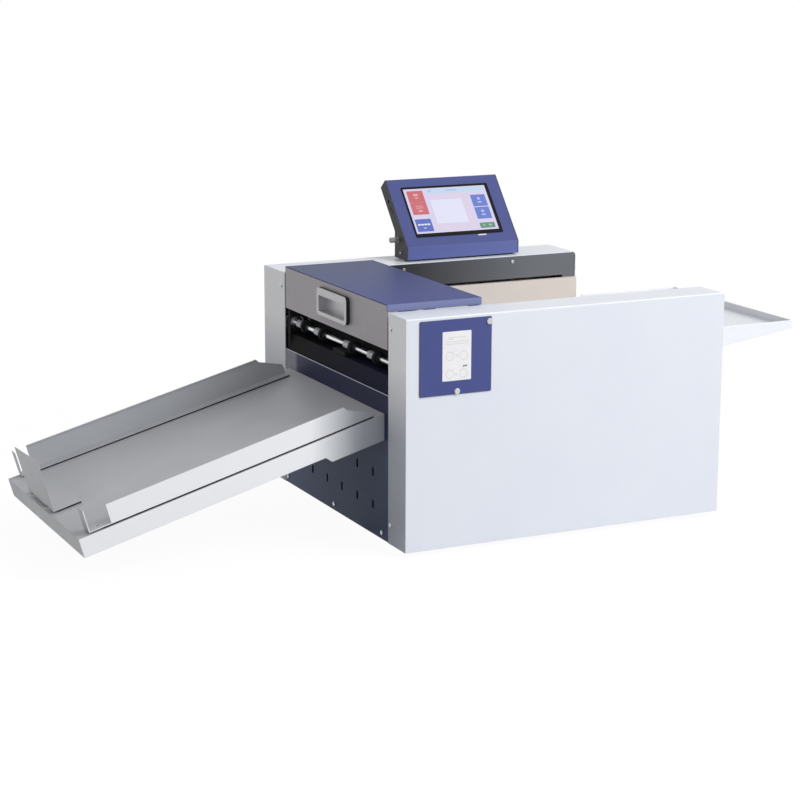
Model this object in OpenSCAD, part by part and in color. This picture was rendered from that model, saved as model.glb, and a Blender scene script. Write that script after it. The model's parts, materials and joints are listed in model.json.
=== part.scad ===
// Desk-top creasing and perforating machine with an inclined feed tray and a tilting touch console.
// X runs along the paper path (feed end -X, exit end +X), the operator stands on the -Y side, Z is up.
// The origin is the bottom centre of the whole machine's box.

/* [Body] */
// Length of the side covers along the paper path
body_l = 540; // [500:10:620]
// Width over both side covers
body_w = 535; // [520:5:600]
// Height of the side covers
cover_h = 346; // [340:2:380]
// Width of the near side cover
near_cover_w = 59; // [55:1:70]
// Width of the far side cover
far_cover_w = 87; // [85:1:100]
// Radius of the side covers' rear upper corner
cover_corner_r = 7; // [3:1:10]
// Radius of the covers' long folds
fold_r = 2.5; // [2:0.5:4]
// Thickness of the covers' and trays' sheet metal
sheet_t = 1.5; // [1.2:0.1:2]
// Thickness of the two side frame plates
frame_t = 8; // [6:1:9]
// Depth from the covers' tops to the side frames behind the hood
inner_h = 43; // [40:1:51]
// Thickness of the base plate
base_t = 2; // [1.5:0.5:3]
// Height of the rubber feet
foot_h = 8; // [6:1:12]
// Diameter of the rubber feet
foot_d = 34; // [26:1:40]
// Distance of the feet from the body's edges
foot_inset = 70; // [50:5:90]

/* [Hood] */
// Length of the hood along the paper path
hood_l = 154; // [152:1:158]
// How far the hood stands above the side covers
hood_rise = 11; // [10:1:14]
// Gap between the hood and each side cover
hood_gap = 4; // [3:0.5:5]
// Height of the hood's lower front edge above the base
mouth_top_h = 290; // [286:1:292]
// Width of the handle frame
handle_w = 111; // [95:1:120]
// Height of the handle frame
handle_h = 43; // [38:1:44]
// How far the handle frame stands proud of the hood
handle_proud = 6; // [4:0.5:8]
// Depth of the handle's finger pocket behind the hood's front
handle_depth = 10; // [8:0.5:10]

/* [Paper path] */
// Height of the front panel's upper edge above the base
mouth_low_h = 222; // [216:1:226]
// Height of the paper path above the base
path_h = 250; // [249:0.5:252]
// Distance of the feed shaft from the front
feed_x = 17; // [17:0.5:18]
// Height of the separator's top above the paper path
feed_lift = 5; // [4:0.5:5.5]
// Radius of the rubber feed wheels
feed_wheel_r = 10; // [9:0.5:10.5]
// Diameter of the feed shaft
feed_shaft_d = 8; // [7:0.5:8.5]
// Distance of the infeed rollers from the front
infeed_x = 52; // [50:1:54]
// Distance of the creasing blade from the front
crease_x = 88; // [87:1:89]
// Distance of the outfeed rollers from the front
outfeed_x = 124; // [122:1:126]
// Radius of the transport rollers
roller_r = 12; // [11.5:0.1:12.2]
// Diameter of the transport rollers' journals
journal_d = 10; // [8:0.5:11]
// Radius of the perforating wheels
perf_r = 14; // [13.5:0.1:14.3]
// Spacing of the perforating wheels
perf_pitch = 210; // [150:5:260]
// Gap left for the paper between rollers
nip_gap = 0.3; // [0.2:0.05:0.5]
// Radial running clearance of shafts in their bearings
run_c = 0.05; // [0.02:0.01:0.08]
// Outer diameter of the ball bearings
bearing_d = 19; // [18:0.5:20]

/* [Creasing unit] */
// Stroke of the creasing blade
stroke = 9; // [8:0.5:10]
// Thickness of the creasing blade
blade_t = 1.6; // [1:0.1:2]
// Height of the camshaft above the base
cam_h = 322; // [321:0.5:323]
// Base radius of the two eccentric cams
cam_r = 14; // [13:0.5:14]
// Diameter of the camshaft
cam_shaft_d = 12; // [10:0.5:13]
// Least gap between each cam and its pad
cam_gap = 0.35; // [0.35:0.05:0.6]
// Radius of the camshaft's belt pulley
cam_pulley_r = 17; // [14:0.5:18]

/* [Feed tray] */
// Slope of the feed tray in degrees
tray_a = 15.8; // [14:0.1:17]
// Height of the tray's floor at the machine above the base
tray_h = 193; // [188:1:196]
// Length of the tray along its slope
tray_l = 486; // [470:2:520]
// Width of the tray
tray_w = 360; // [356:1:364]
// Depth of the tray's walls
tray_wall = 29; // [24:1:34]
// Depth of the tray's walls where they meet the machine
tray_root_wall = 38.5; // [36:0.5:44]
// Length of the deeper part of the tray's walls
tray_root_l = 97; // [80:1:120]
// Thickness of the guides' and the tail stop's sheet
guide_t = 1.2; // [1:0.1:1.6]
// Thickness of the magnetic strips under the guides and the tail stop
magnet_t = 2; // [1.5:0.5:3]
// Height of the near guide's wall
near_guide_h = 30; // [26:1:40]
// Height of the far guide's wall
far_guide_h = 38; // [30:1:44]
// Distance of the near guide's wall from the tray's edge
near_guide_in = 3; // [2:0.5:8]
// Distance of the far guide's wall from the tray's edge at its machine end
far_guide_in = 22; // [20:0.5:26]
// Angle by which the far guide is turned on the tray
far_guide_a = 2.75; // [0:0.25:2.75]
// Width of the tail stop
tail_w = 126; // [90:2:134]
// Height of the tail stop's far edge
tail_far_h = 73; // [60:1:80]
// Height of the tail stop's near edge
tail_near_h = 81; // [60:1:84]

/* [Exit tray] */
// Length of the exit tray behind the machine
exit_l = 188; // [150:2:240]
// Width of the exit tray
exit_w = 346; // [320:1:352]
// Height of the exit tray's rim above the end of its floor
exit_rim_h = 13; // [9:1:19]
// Height of the exit tray's floor at the machine above the base
exit_root_h = 236; // [230:1:240]
// How far the exit tray's floor rises from the machine to its end
exit_end_h = 25; // [20:1:28]

/* [Console] */
// Width of the console
con_w = 210; // [204:1:240]
// Distance of the console from the front of the machine
con_x = 224.5; // [210:0.5:260]
// Distance of the console's front from the far cover's inner edge
con_y = 12.5; // [8:0.5:16]
// Height of the console's upright lower front
con_knee_h = 21.5; // [18:0.5:24]
// Length of the console's sloping front
con_slope_l = 133.5; // [126:0.5:140]
// Lean of the sloping front from upright in degrees
con_lean = 40; // [38:0.5:44]
// Thickness of the console's leaning part
con_t = 22; // [20:1:26]
// Depth of the console's foot
con_foot = 47; // [46:1:50]
// Gap between the console and the cover under it
con_gap = 2.5; // [2.5:0.5:3.5]
// Width of the display's black frame
disp_w = 163; // [150:1:170]
// Height of the display's black frame
disp_h = 99; // [90:1:104]
// Width of the lit screen
screen_w = 154; // [140:1:156]
// Height of the lit screen
screen_h = 88; // [80:1:94]

/* [Hidden] */
$fn = 64;

// Places of the body in the machine's box
con_top_z = foot_h + cover_h + con_gap + con_knee_h + con_slope_l * cos(con_lean);
con_back_y = con_y + con_slope_l * sin(con_lean) + con_t * cos(con_lean);
tail_s = tray_l - 6;
lay_gap = 0.1;
guide_lift = magnet_t + 2 * lay_gap;
tray_reach = tail_s * cos(tray_a) + (tail_near_h + guide_lift) * sin(tray_a);
total_l = tray_reach + body_l + exit_l;
acc_t = 1.5;
acc_head_h = 2.2;
acc_out = acc_t + acc_head_h;
total_w = acc_out + body_w + con_back_y - far_cover_w;
fx = -total_l / 2 + tray_reach;
rx = fx + body_l;
ny = -total_w / 2 + acc_out;
fy = ny + body_w;
iny = ny + near_cover_w;
ify = fy - far_cover_w;
near_in = iny + frame_t;
far_in = ify - frame_t;
mid_y = (iny + ify) / 2;
top_z = foot_h + cover_h;

// Heights above the ground
path_z = foot_h + path_h;
mouth_low_z = foot_h + mouth_low_h;
mouth_top_z = foot_h + mouth_top_h;
frame_z = top_z - inner_h;
floor_z = foot_h + base_t;
deck_drop = 1;
deck_z = path_z - deck_drop;

// Front and rear panels
panel_out = 1;
panel_x0 = fx + panel_out;
panel_x1 = panel_x0 + sheet_t;
rear_x0 = rx - panel_out - sheet_t;
panel_gap = 0.5;
lip_top_z = foot_h + 200;

// Hinge of the hood
hinge_x = fx + hood_l - 10;
hinge_z = top_z - 11;
hinge_boss_r = 9;
hinge_pin_d = 8;
hood_top_z = top_z + hood_rise;
hood_y0 = iny + hood_gap;
hood_y1 = ify - hood_gap;
ear_t = 3;
ear_gap = 0.4;
flange_in = 3;

// Shafts
feed_shaft_x = fx + feed_x;
feed_shaft_z = path_z + feed_lift + feed_wheel_r;
in_x = fx + infeed_x;
out_x = fx + outfeed_x;
cr_x = fx + crease_x;
low_z = path_z - roller_r;
up_z = path_z + nip_gap + roller_r;
cam_z = foot_h + cam_h;
cam_ecc = stroke / 2;
wheel_w = 8;
hub_l = 27;
hub_d = 12;
feed_wheel_ys = [for (f = [-0.335, -0.1, 0.2, 0.39]) mid_y + f * (far_in - near_in)];
pulley_w = 10;
pulley_r = 12;
belt_t = 2;
belt_c = 0.35;
belt_y1 = ify + 4;
belt_y2 = ify + 20;
belt_y3 = ify + 36;
shaft_end = 4;
gear_z = 16;
gear_m = 2 * (roller_r + nip_gap / 2) / gear_z;
gear_w = 10;
gear_y = iny - 4 - gear_w;
groove_w = 4;
groove_d = 3.5;
perf_ys = [mid_y - perf_pitch / 2, mid_y + perf_pitch / 2];

// Motors: [x, height above the base] of each shaft, and the frame size
motor_s = 56;
motor_l = 52;
motor_shaft_d = 8;
feed_motor = [fx + 34, foot_h + 110];
move_motor = [fx + 124, foot_h + 110];
cam_motor = [fx + 88, foot_h + 182];

// Creasing unit
drive_lag = 0.1053; // share of the stroke by which an even drive trails the eccentric
pad_z = cam_z + cam_ecc - cam_r - cam_gap - stroke * drive_lag;
blade_up = stroke - 1;
blade_low_z = path_z + blade_up;
beam_t = 16;
beam_low_z = blade_low_z + 14;
guide_block = 14;
slide_c = 0.4;
beam_y0 = near_in + guide_block + slide_c;
beam_y1 = far_in - guide_block - slide_c;
tongue_t = 8;
cam_y0 = near_in + guide_block + 12;
cam_y1 = far_in - guide_block - 24;
cam_w = 12;

// Feed tray and what lies on it
tray_y0 = mid_y - tray_w / 2;
tray_y1 = mid_y + tray_w / 2;
tray_z = foot_h + tray_h;
guide_root_s = 15;
guide_cut_l = 42;
guide_cut_h = 23;
guide_step_h = 6;
function guide_side(start_s, h) = [
    [-start_s, 0], [-start_s, h], [-guide_root_s - guide_cut_l, h],
    [-guide_root_s - guide_cut_l + 4, h - guide_step_h], [-guide_root_s - 2, h - guide_cut_h], [-guide_root_s, 0]
];
guide_base_w = 25;
far_base_w = 20;
near_wall_s = tray_l - 52;
far_wall_s = tray_l - 41;
guide_tab_s = tray_l - 18;
near_tab_h = 34;
far_tab_h = 38;
tail_y0 = mid_y - 44;
tail_tongue = 44;

// Exit tray
exit_y0 = mid_y - exit_w / 2;
exit_y1 = mid_y + exit_w / 2;
exit_root_z = foot_h + exit_root_h;
exit_end_z = exit_root_z + exit_end_h;
exit_rim_z = exit_end_z + exit_rim_h;

// Console
cx0 = fx + con_x;
cx1 = cx0 + con_w;
cy0 = ify + con_y;
cz0 = top_z + con_gap;
knee_z = cz0 + con_knee_h;
pivot_y = cy0 + con_foot * 0.47;
pivot_z = cz0 + 10;
lock_y = pivot_y + 11;
lock_z = pivot_z + 20.5;
side_t = 1.5;
ear_in = 0.5;

// Screws
screw_d = 7;
screw_h = 1.8;

// A block between two opposite corners
module slab(a, b) {
    translate(a) cube(b - a);
}

// A cylinder along Y
module rod_y(x, z, y0, y1, d) {
    translate([x, y0, z]) rotate([-90, 0, 0]) cylinder(d = d, h = y1 - y0);
}

// A cylinder along X
module rod_x(y, z, x0, x1, d) {
    translate([x0, y, z]) rotate([0, 90, 0]) cylinder(d = d, h = x1 - x0);
}

// An outline drawn in X and Z, extruded from y0 to y1
module prism_y(y0, y1) {
    translate([0, y1, 0]) rotate([90, 0, 0]) linear_extrude(y1 - y0) children();
}

// An outline drawn in Y and Z, extruded from x0 to x1
module prism_x(x0, x1) {
    translate([x0, 0, 0]) rotate([90, 0, 90]) linear_extrude(x1 - x0) children();
}

// A rectangle with four rounded corners
module round_rect(a, b, r) {
    translate([a.x + r, a.y]) square([b.x - a.x - 2 * r, b.y - a.y]);
    translate([a.x, a.y + r]) square([b.x - a.x, b.y - a.y - 2 * r]);
    for (x = [a.x + r, b.x - r], y = [a.y + r, b.y - r]) translate([x, y]) circle(r);
}

// A pan-head screw whose head stands out along its own Z
module screw_head(d = screw_d, h = screw_h) {
    difference() {
        union() {
            cylinder(d = d, h = h * 0.6);
            cylinder(d = d * 0.8, h = h);
        }
        translate([-d * 0.3, -0.4, h * 0.5]) cube([d * 0.6, 0.8, h]);
        translate([-0.4, -d * 0.3, h * 0.5]) cube([0.8, d * 0.6, h]);
    }
}

// Places its children in the tray's own frame: -X runs down the tray, Z is square to its floor
module on_tray() {
    translate([fx, 0, tray_z]) rotate([0, -tray_a, 0]) children();
}

// An open belt outline round two pulleys, a distance o outside them
module belt_line(p, q, rp, rq, o) {
    d = norm(q - p);
    f = atan2(q.y - p.y, q.x - p.x);
    a = acos((rp - rq) / d);
    translate(p) circle(rp + o);
    translate(q) circle(rq + o);
    polygon([for (k = [[p, rp, a], [q, rq, a], [q, rq, -a], [p, rp, -a]])
        k[0] + (k[1] + o) * [cos(f + k[2]), sin(f + k[2])]]);
}

// A closed belt round two pulleys, from y to y plus its width
module belt(p, q, rp, rq, y) {
    prism_y(y, y + pulley_w - 2)
        difference() {
            belt_line(p, q, rp, rq, belt_c + belt_t);
            belt_line(p, q, rp, rq, belt_c);
        }
}

// A flanged belt pulley along Y, with its belt seat starting at y
module pulley(x, z, r, y, bore) {
    difference() {
        union() {
            rod_y(x, z, y - 1, y + pulley_w - 1, 2 * r);
            rod_y(x, z, y - 2, y - 1, 2 * r + 6);
            rod_y(x, z, y + pulley_w - 1, y + pulley_w, 2 * r + 6);
            rod_y(x, z, y + pulley_w, y + pulley_w + 3, bore + 8);
        }
        rod_y(x, z, y - 3, y + pulley_w + 4, bore);
    }
}

// Involute of a circle of radius r at the roll angle t
function involute(r, t) = r * [cos(t) + t * PI / 180 * sin(t), sin(t) - t * PI / 180 * cos(t)];

// Rolls needed to reach radius q from base radius r
function roll(r, q) = sqrt(max(0, q * q / (r * r) - 1)) * 180 / PI;

// Turns a point about the origin
function turned(p, a) = [p.x * cos(a) - p.y * sin(a), p.x * sin(a) + p.y * cos(a)];

// Outline of a spur gear with 20 degree involute teeth and a tooth centred on +X
module gear_line(z, m, backlash) {
    pr = m * z / 2;
    br = pr * cos(20);
    tip = pr + 0.85 * m;
    root = pr - 1.1 * m;
    t_pitch = roll(br, pr);
    inv_pitch = t_pitch - atan(t_pitch * PI / 180);
    half = 90 / z - backlash / 2 / pr * 180 / PI + inv_pitch;
    steps = 5;
    flank = [for (i = [0 : steps]) involute(br, roll(br, br + (tip - br) * i / steps))];
    circle(root);
    for (k = [0 : z - 1]) rotate(k * 360 / z)
        polygon(concat(
            [[root * 0.9, -root * sin(half)]],
            [for (p = flank) turned(p, -half)],
            [for (i = [steps : -1 : 0]) turned([flank[i].x, -flank[i].y], half)],
            [[root * 0.9, root * sin(half)]]));
}

// A spur gear along Y whose tooth points up when turn is 0
module gear(x, z, y, turn, bore) {
    difference() {
        translate([x, y + gear_w, z]) rotate([90, 0, 0]) linear_extrude(gear_w)
            rotate(90 + turn) gear_line(gear_z, gear_m, 0.35);
        rod_y(x, z, y - 1, y + gear_w + 1, bore);
    }
}

// Bottom of the body, between the covers
module base_plate() {
    color("dimgray")
        difference() {
            slab([panel_x1, ny + sheet_t, foot_h], [rear_x0, fy - sheet_t, floor_z]);
            for (x = [fx + foot_inset, rx - foot_inset], y = [ny + foot_inset, fy - foot_inset])
                translate([x, y, foot_h - 1]) cylinder(d = 5.2, h = base_t + 2);
        }
}

// Four rubber feet, each with its fixing screw
module rubber_feet() {
    color("black")
        for (x = [fx + foot_inset, rx - foot_inset], y = [ny + foot_inset, fy - foot_inset])
            translate([x, y, 0]) {
                difference() {
                    cylinder(d = foot_d, h = foot_h);
                    translate([0, 0, -1]) cylinder(d = 12, h = foot_h - 2);
                    translate([0, 0, -1]) cylinder(d = 5.2, h = foot_h + 2);
                }
                translate([0, 0, foot_h - 3]) cylinder(d = 5, h = base_t + 7);
                translate([0, 0, foot_h - 5]) cylinder(d = 9, h = 2);
            }
}

// Outline of a side frame in X and Z: high under the hood, low beside the delivery bay
module frame_line() {
    x0 = panel_x1 + 0.5;
    polygon([
        [x0, floor_z], [x0, mouth_low_z - 20], [x0 + 2, mouth_low_z - 18], [x0 + 2, top_z - 6],
        [hinge_x + hinge_boss_r, top_z - 6], [hinge_x + hinge_boss_r, frame_z], [rear_x0, frame_z],
        [rear_x0, floor_z]
    ]);
}

// Bearing seats in both frames: [x, z, outer diameter, shaft diameter]
seats = [
    [feed_shaft_x, feed_shaft_z, bearing_d + 2, feed_shaft_d], [cr_x, cam_z, bearing_d + 2, cam_shaft_d],
    [in_x, low_z, bearing_d, journal_d], [in_x, up_z, bearing_d, journal_d],
    [out_x, low_z, bearing_d, journal_d], [out_x, up_z, bearing_d, journal_d]
];

// Bores that both side frames have
module frame_bores(y0, y1) {
    for (s = seats) rod_y(s[0], s[1], y0, y1, s[2]);
    rod_y(hinge_x, hinge_z, y0, y1, hinge_pin_d);
}

// Near side frame plate
module near_side_frame() {
    color("antiquewhite")
        difference() {
            prism_y(iny, near_in) frame_line();
            frame_bores(iny - 1, near_in + 1);
        }
}

// Far side frame plate with the motors' centring bores
module far_side_frame() {
    color("antiquewhite")
        difference() {
            prism_y(far_in, ify) frame_line();
            frame_bores(far_in - 1, ify + 1);
            for (m = [feed_motor, move_motor, cam_motor]) rod_y(m.x, m.y, far_in - 1, ify + 1, 22);
        }
}

// Round tie bars that hold the two frames apart
bar_in = 60;
bar_low_z = foot_h + 60;
bar_high_z = foot_h + 200;
module tie_bars() {
    color("silver")
        for (p = [[fx + 150, bar_low_z], [fx + 250, bar_high_z], [rx - bar_in, bar_high_z], [rx - bar_in, bar_low_z]])
            rod_y(p.x, p.y, near_in, far_in, 14);
}

// Outline of a side cover in X and Z
module cover_line(inset) {
    r = cover_corner_r - inset;
    x0 = fx + inset;
    x1 = rx - inset;
    z1 = top_z - inset;
    difference() {
        translate([x0, foot_h - inset]) square([x1 - x0, z1 - foot_h + inset]);
        translate([x1 - r, z1 - r]) square(r + 1);
    }
    translate([x1 - r, z1 - r]) circle(r);
}

// A folded sheet cover, open towards the frame; out is -1 on the near side and 1 on the far side
module side_cover(y_out, y_in, out) {
    lo = min(y_out, y_in);
    hi = max(y_out, y_in);
    cut = out < 0 ? [y_out + sheet_t, y_in + 1] : [y_in - 1, y_out - sheet_t];
    lip = 14;
    difference() {
        intersection() {
            prism_y(lo, hi) cover_line(0);
            prism_x(fx - 1, rx + 1)
                difference() {
                    translate([lo, foot_h - 1]) square([hi - lo, cover_h + 1]);
                    difference() {
                        translate([y_out - fold_r, top_z - fold_r]) square([2 * fold_r, 2 * fold_r]);
                        translate([y_out - out * fold_r, top_z - fold_r]) circle(fold_r);
                        translate([out < 0 ? y_out + fold_r : y_out - 3 * fold_r, top_z - fold_r])
                            square([2 * fold_r, fold_r + 1]);
                    }
                }
        }
        prism_y(cut[0], cut[1]) cover_line(sheet_t);
    }
    y_lip = out < 0 ? y_in - lip : y_in;
    slab([fx + sheet_t, y_lip, floor_z], [fx + 2 * sheet_t, y_lip + lip, lip_top_z]);
    slab([rx - 2 * sheet_t, y_lip, floor_z], [rx - sheet_t, y_lip + lip, lip_top_z]);
}

// Near side cover
module near_cover() {
    color("lavender") side_cover(ny, iny, -1);
}

// Far side cover, which carries the console
module far_cover() {
    color("lavender")
        difference() {
            side_cover(fy, ify, 1);
            translate([cx0 + con_w / 2, cy0 + con_foot / 2, top_z - sheet_t - 1]) cylinder(d = 14, h = 5);
        }
}

// Dark panels that close both covers above the frames
module inner_panel(y0) {
    slot_h = 4;
    difference() {
        slab([fx + 3, y0, frame_z], [rx - 3, y0 + sheet_t, top_z - sheet_t]);
        slab([hinge_x + 20, y0 - 1, frame_z - 1], [rx - 26, y0 + sheet_t + 1, frame_z + slot_h]);
        slab([fx, y0 - 1, frame_z - 1], [hinge_x + 12, y0 + sheet_t + 1, cam_z + cam_shaft_d / 2 + 4]);
        for (p = inner_screws()) rod_y(p.x, p.y, y0 - 1, y0 + sheet_t + 1, 3.4);
    }
}

// Screws along the upper edge of the inner panels
function inner_screws() = [for (x = [hinge_x + 69, rx - 124]) [x, top_z - 10]];

// Both inner panels
module inner_panels() {
    color("dimgray") {
        inner_panel(iny - sheet_t);
        inner_panel(ify);
    }
}

// Upper row and lower row of vent slots
vent_pitch = 56.5;
vent_w = 6.5;
vent_l = 14;
vent_rows = [46, 96];
vent_shift = -26;
function vents() = [for (h = vent_rows, k = [-2 : 2]) [mid_y + vent_shift + k * vent_pitch, foot_h + h]];

// Lower front panel with its vent slots
module front_panel() {
    color("darkslateblue")
        difference() {
            slab([panel_x0, iny + panel_gap, foot_h], [panel_x1, ify - panel_gap, mouth_low_z]);
            for (v = vents())
                translate([panel_x0 - 1, 0, 0]) prism_x(0, sheet_t + 2)
                    round_rect([v.x - vent_w / 2, v.y - vent_l / 2], [v.x + vent_w / 2, v.y + vent_l / 2],
                               vent_w / 2 - 0.01);
        }
}

// Steep ramp behind the front panel, up to the separator
module infeed_ramp() {
    color("midnightblue")
        prism_y(near_in, far_in) {
            x0 = panel_x1;
            z0 = mouth_low_z;
            polygon([
                [x0, z0 - 12], [x0, z0 - sheet_t], [x0 + 7, deck_z - sheet_t], [x0 + 12, deck_z],
                [in_x - roller_r - 2, deck_z], [in_x - roller_r - 2, deck_z - sheet_t],
                [x0 + 13, deck_z - sheet_t], [x0 + 9, deck_z - sheet_t - 1], [x0 + sheet_t, z0 - 2],
                [x0 + sheet_t, z0 - 12]
            ]);
        }
}

// Black side liners beside the feed mouth, and the plates that lead the sheet between the units
module paper_guides() {
    liner_x1 = in_x - 16;
    color("black") {
        for (y = [near_in, far_in - sheet_t])
            difference() {
                slab([panel_x1 + 2.5, y, deck_z], [liner_x1, y + sheet_t, top_z - 12]);
                rod_y(feed_shaft_x, feed_shaft_z, y - 1, y + sheet_t + 1, bearing_d + 6);
            }
        for (s = [[in_x + roller_r + 1.5, cr_x - 11], [cr_x + 11, out_x - roller_r - 1.5]])
            slab([s[0], near_in, deck_z - sheet_t], [s[1], far_in, deck_z]);
    }
}

// Rear panel with the openings for the mains inlet and the switch
inlet_y = far_in - 50;
inlet_z = foot_h + 60;
switch_y = inlet_y - 55;
rocker_in = 5;
rocker_tilt = 7;
rocker_pin_d = 2.2;
module rear_panel() {
    color("lightgray")
        difference() {
            slab([rear_x0, iny + panel_gap, foot_h], [rear_x0 + sheet_t, ify - panel_gap, exit_root_z]);
            slab([rear_x0 - 1, inlet_y - 14, inlet_z - 10.5], [rx, inlet_y + 14, inlet_z + 10.5]);
            slab([rear_x0 - 1, switch_y - 6.5, inlet_z - 10], [rx, switch_y + 6.5, inlet_z + 10]);
            for (k = [0 : 7], z = [foot_h + 130, foot_h + 160])
                translate([rear_x0 - 1, 0, 0]) prism_x(0, sheet_t + 2)
                    round_rect([near_in + 50 + k * 14, z], [near_in + 54 + k * 14, z + 20], 1.99);
        }
}

// Flat floor of the open delivery bay
module delivery_deck() {
    x0 = out_x + roller_r + 2;
    color("lightsteelblue") {
        slab([x0, near_in, deck_z - sheet_t], [rear_x0, far_in, deck_z]);
        slab([x0, near_in, deck_z - 14], [x0 + sheet_t, far_in, deck_z - sheet_t]);
        slab([rear_x0 - sheet_t, near_in, exit_root_z - 16], [rear_x0, far_in, deck_z - sheet_t]);
    }
}

// Rear catch tray: a pan with a rising floor and a level rim
module exit_tray() {
    x0 = rear_x0 + sheet_t;
    x1 = rx + exit_l;
    color("gainsboro")
        difference() {
            prism_y(exit_y0, exit_y1)
                polygon([
                    [x0, exit_root_z - 24], [x0, exit_rim_z], [x1, exit_rim_z], [x1, exit_end_z],
                    [x0 + sheet_t + 12, exit_root_z], [x0 + sheet_t, exit_root_z - 2], [x0 + sheet_t, exit_root_z - 24]
                ]);
            prism_y(exit_y0 + sheet_t, exit_y1 - sheet_t)
                polygon([
                    [x0 - 1, exit_root_z + sheet_t], [x0 - 1, exit_rim_z + 1], [x1 - sheet_t, exit_rim_z + 1],
                    [x1 - sheet_t, exit_end_z + sheet_t], [x0 + sheet_t + 12, exit_root_z + sheet_t]
                ]);
        }
}

// Screwed access panel on the near cover
acc_w = 116;
acc_h = 110.5;
acc_x0 = fx + 21;
acc_x1 = acc_x0 + acc_w;
acc_z1 = top_z - 5;
acc_z0 = acc_z1 - acc_h;
acc_screws = [[fx + 133, top_z - 12], [fx + 81, top_z - 111]];
module access_panel() {
    color("darkslateblue")
        difference() {
            prism_y(ny - acc_t, ny) round_rect([acc_x0, acc_z0], [acc_x1, acc_z1], 2);
            for (p = acc_screws) rod_y(p.x, p.y, ny - acc_t - 1, ny + 1, 3.4);
        }
}

// Blank white plate on the access panel
module instruction_plate() {
    color("white")
        prism_y(ny - acc_t - 0.5, ny - acc_t)
            round_rect([fx + 57, top_z - 95], [fx + 103.5, top_z - 22.5], 1.5);
}

// All visible screws of the body
strip_z = [top_z - 22, foot_h + 30];
module body_screws() {
    color("silver") {
        for (z = strip_z) {
            for (y = [iny - 9, ify + 13]) {
                translate([fx, y, z]) rotate([0, -90, 0]) screw_head();
                translate([rx, y, z]) rotate([0, 90, 0]) screw_head();
            }
        }
        for (y = [iny + 23, mid_y + 3, ify - 7])
            translate([panel_x0, y, foot_h + 10]) rotate([0, -90, 0]) screw_head();
        for (y = [iny + 23, mid_y, ify - 23])
            translate([rear_x0 + sheet_t, y, foot_h + 10]) rotate([0, 90, 0]) screw_head();
        for (p = acc_screws) {
            translate([p.x, ny - acc_t, p.y]) rotate([90, 0, 0]) screw_head(9, acc_head_h);
            rod_y(p.x, p.y, ny - acc_t, ny, 3.2);
        }
        for (p = inner_screws()) {
            translate([p.x, ify, p.y]) rotate([90, 0, 0]) screw_head(6, 1.6);
            rod_y(p.x, p.y, ify, ify + sheet_t, 3.2);
            translate([p.x, iny, p.y]) rotate([-90, 0, 0]) screw_head(6, 1.6);
            rod_y(p.x, p.y, iny - sheet_t, iny, 3.2);
        }
    }
}

// Sheet-metal feed tray, an upside-down pan that is deeper at the machine
module feed_tray() {
    color("silver")
        difference() {
            on_tray()
                difference() {
                    prism_y(tray_y0, tray_y1) tray_line(0);
                    prism_y(tray_y0 + sheet_t, tray_y1 - sheet_t) tray_line(sheet_t);
                }
            slab([panel_x0, tray_y0 - 1, 0], [panel_x0 + 60, tray_y1 + 1, tray_z + 60]);
        }
}

// Side outline of the tray in its own frame; the inner one is inset and open below
module tray_line(inset) {
    low = inset > 0 ? 20 : 0;
    polygon([
        [30, -inset], [-tray_l + inset, -inset], [-tray_l + inset, -tray_wall - low],
        [-tray_root_l - 8, -tray_wall - low], [-tray_root_l, -tray_root_wall - low], [30, -tray_root_wall - low]
    ]);
}

// Two brackets that hold the tray on the front panel
module tray_brackets() {
    color("gray")
        for (y = [tray_y0 + sheet_t, tray_y1 - sheet_t - 2]) {
            difference() {
                on_tray() slab([-60, y, -tray_root_wall + 4], [30, y + 2, -sheet_t]);
                slab([panel_x0, y - 1, 0], [panel_x0 + 60, y + 3, tray_z + 60]);
            }
        }
}

// Separator under the middle of the feed shaft
module separator_pad() {
    w = 44;
    z1 = path_z + feed_lift - nip_gap;
    color("saddlebrown")
        difference() {
            slab([feed_shaft_x - 9, mid_y - w / 2, deck_z], [feed_shaft_x + 11, mid_y + w / 2, z1 + 0.15]);
            for (k = [0 : 5])
                slab([feed_shaft_x - 7 + 3 * k, mid_y - w / 2 - 1, z1 - 0.15],
                     [feed_shaft_x - 6 + 3 * k, mid_y + w / 2 + 1, z1 + 1]);
        }
}

// Grooved anvil under the creasing blade
module anvil_bar() {
    color("gray")
        difference() {
            slab([cr_x - 10, near_in, path_z - 14], [cr_x + 10, far_in, path_z - 0.5]);
            slab([cr_x - 1.9, near_in - 1, path_z - 3.2], [cr_x + 1.9, far_in + 1, path_z]);
        }
}

// Slotted blocks on the frames that guide the blade beam
module blade_guides() {
    z0 = beam_low_z - stroke - 3;
    z1 = pad_z - 12;
    color("goldenrod")
        for (e = [[near_in, near_in + guide_block, beam_y0 - tongue_t],
                  [far_in - guide_block, far_in, beam_y1]]) {
            inner = e[0] == near_in ? [e[2] - slide_c, e[1] + 1] : [e[0] - 1, e[2] + tongue_t + slide_c];
            difference() {
                slab([cr_x - 13, e[0], z0], [cr_x + 13, e[1], z1]);
                slab([cr_x - 5 - slide_c, inner[0], z0 - 1], [cr_x + 5 + slide_c, inner[1], z1 + 1]);
            }
        }
}

// A bearing ring in a frame, seated from y0 over the frame's thickness
module bearing_ring(x, z, y0, bore, outer) {
    difference() {
        rod_y(x, z, y0, y0 + frame_t, outer);
        rod_y(x, z, y0 - 1, y0 + frame_t + 1, bore + 2 * run_c);
    }
}

// Bearings of every shaft in both frames
module shaft_bearings() {
    color("silver")
        for (y = [iny, far_in], s = seats) bearing_ring(s[0], s[1], y, s[3], s[2]);
}

// Fixed pins on which the hood turns
module hood_hinge_pins() {
    reach = ear_t + ear_gap + 2;
    color("silver") {
        rod_y(hinge_x, hinge_z, iny, near_in + reach, hinge_pin_d);
        rod_y(hinge_x, hinge_z, far_in - reach, ify, hinge_pin_d);
    }
}

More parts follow.
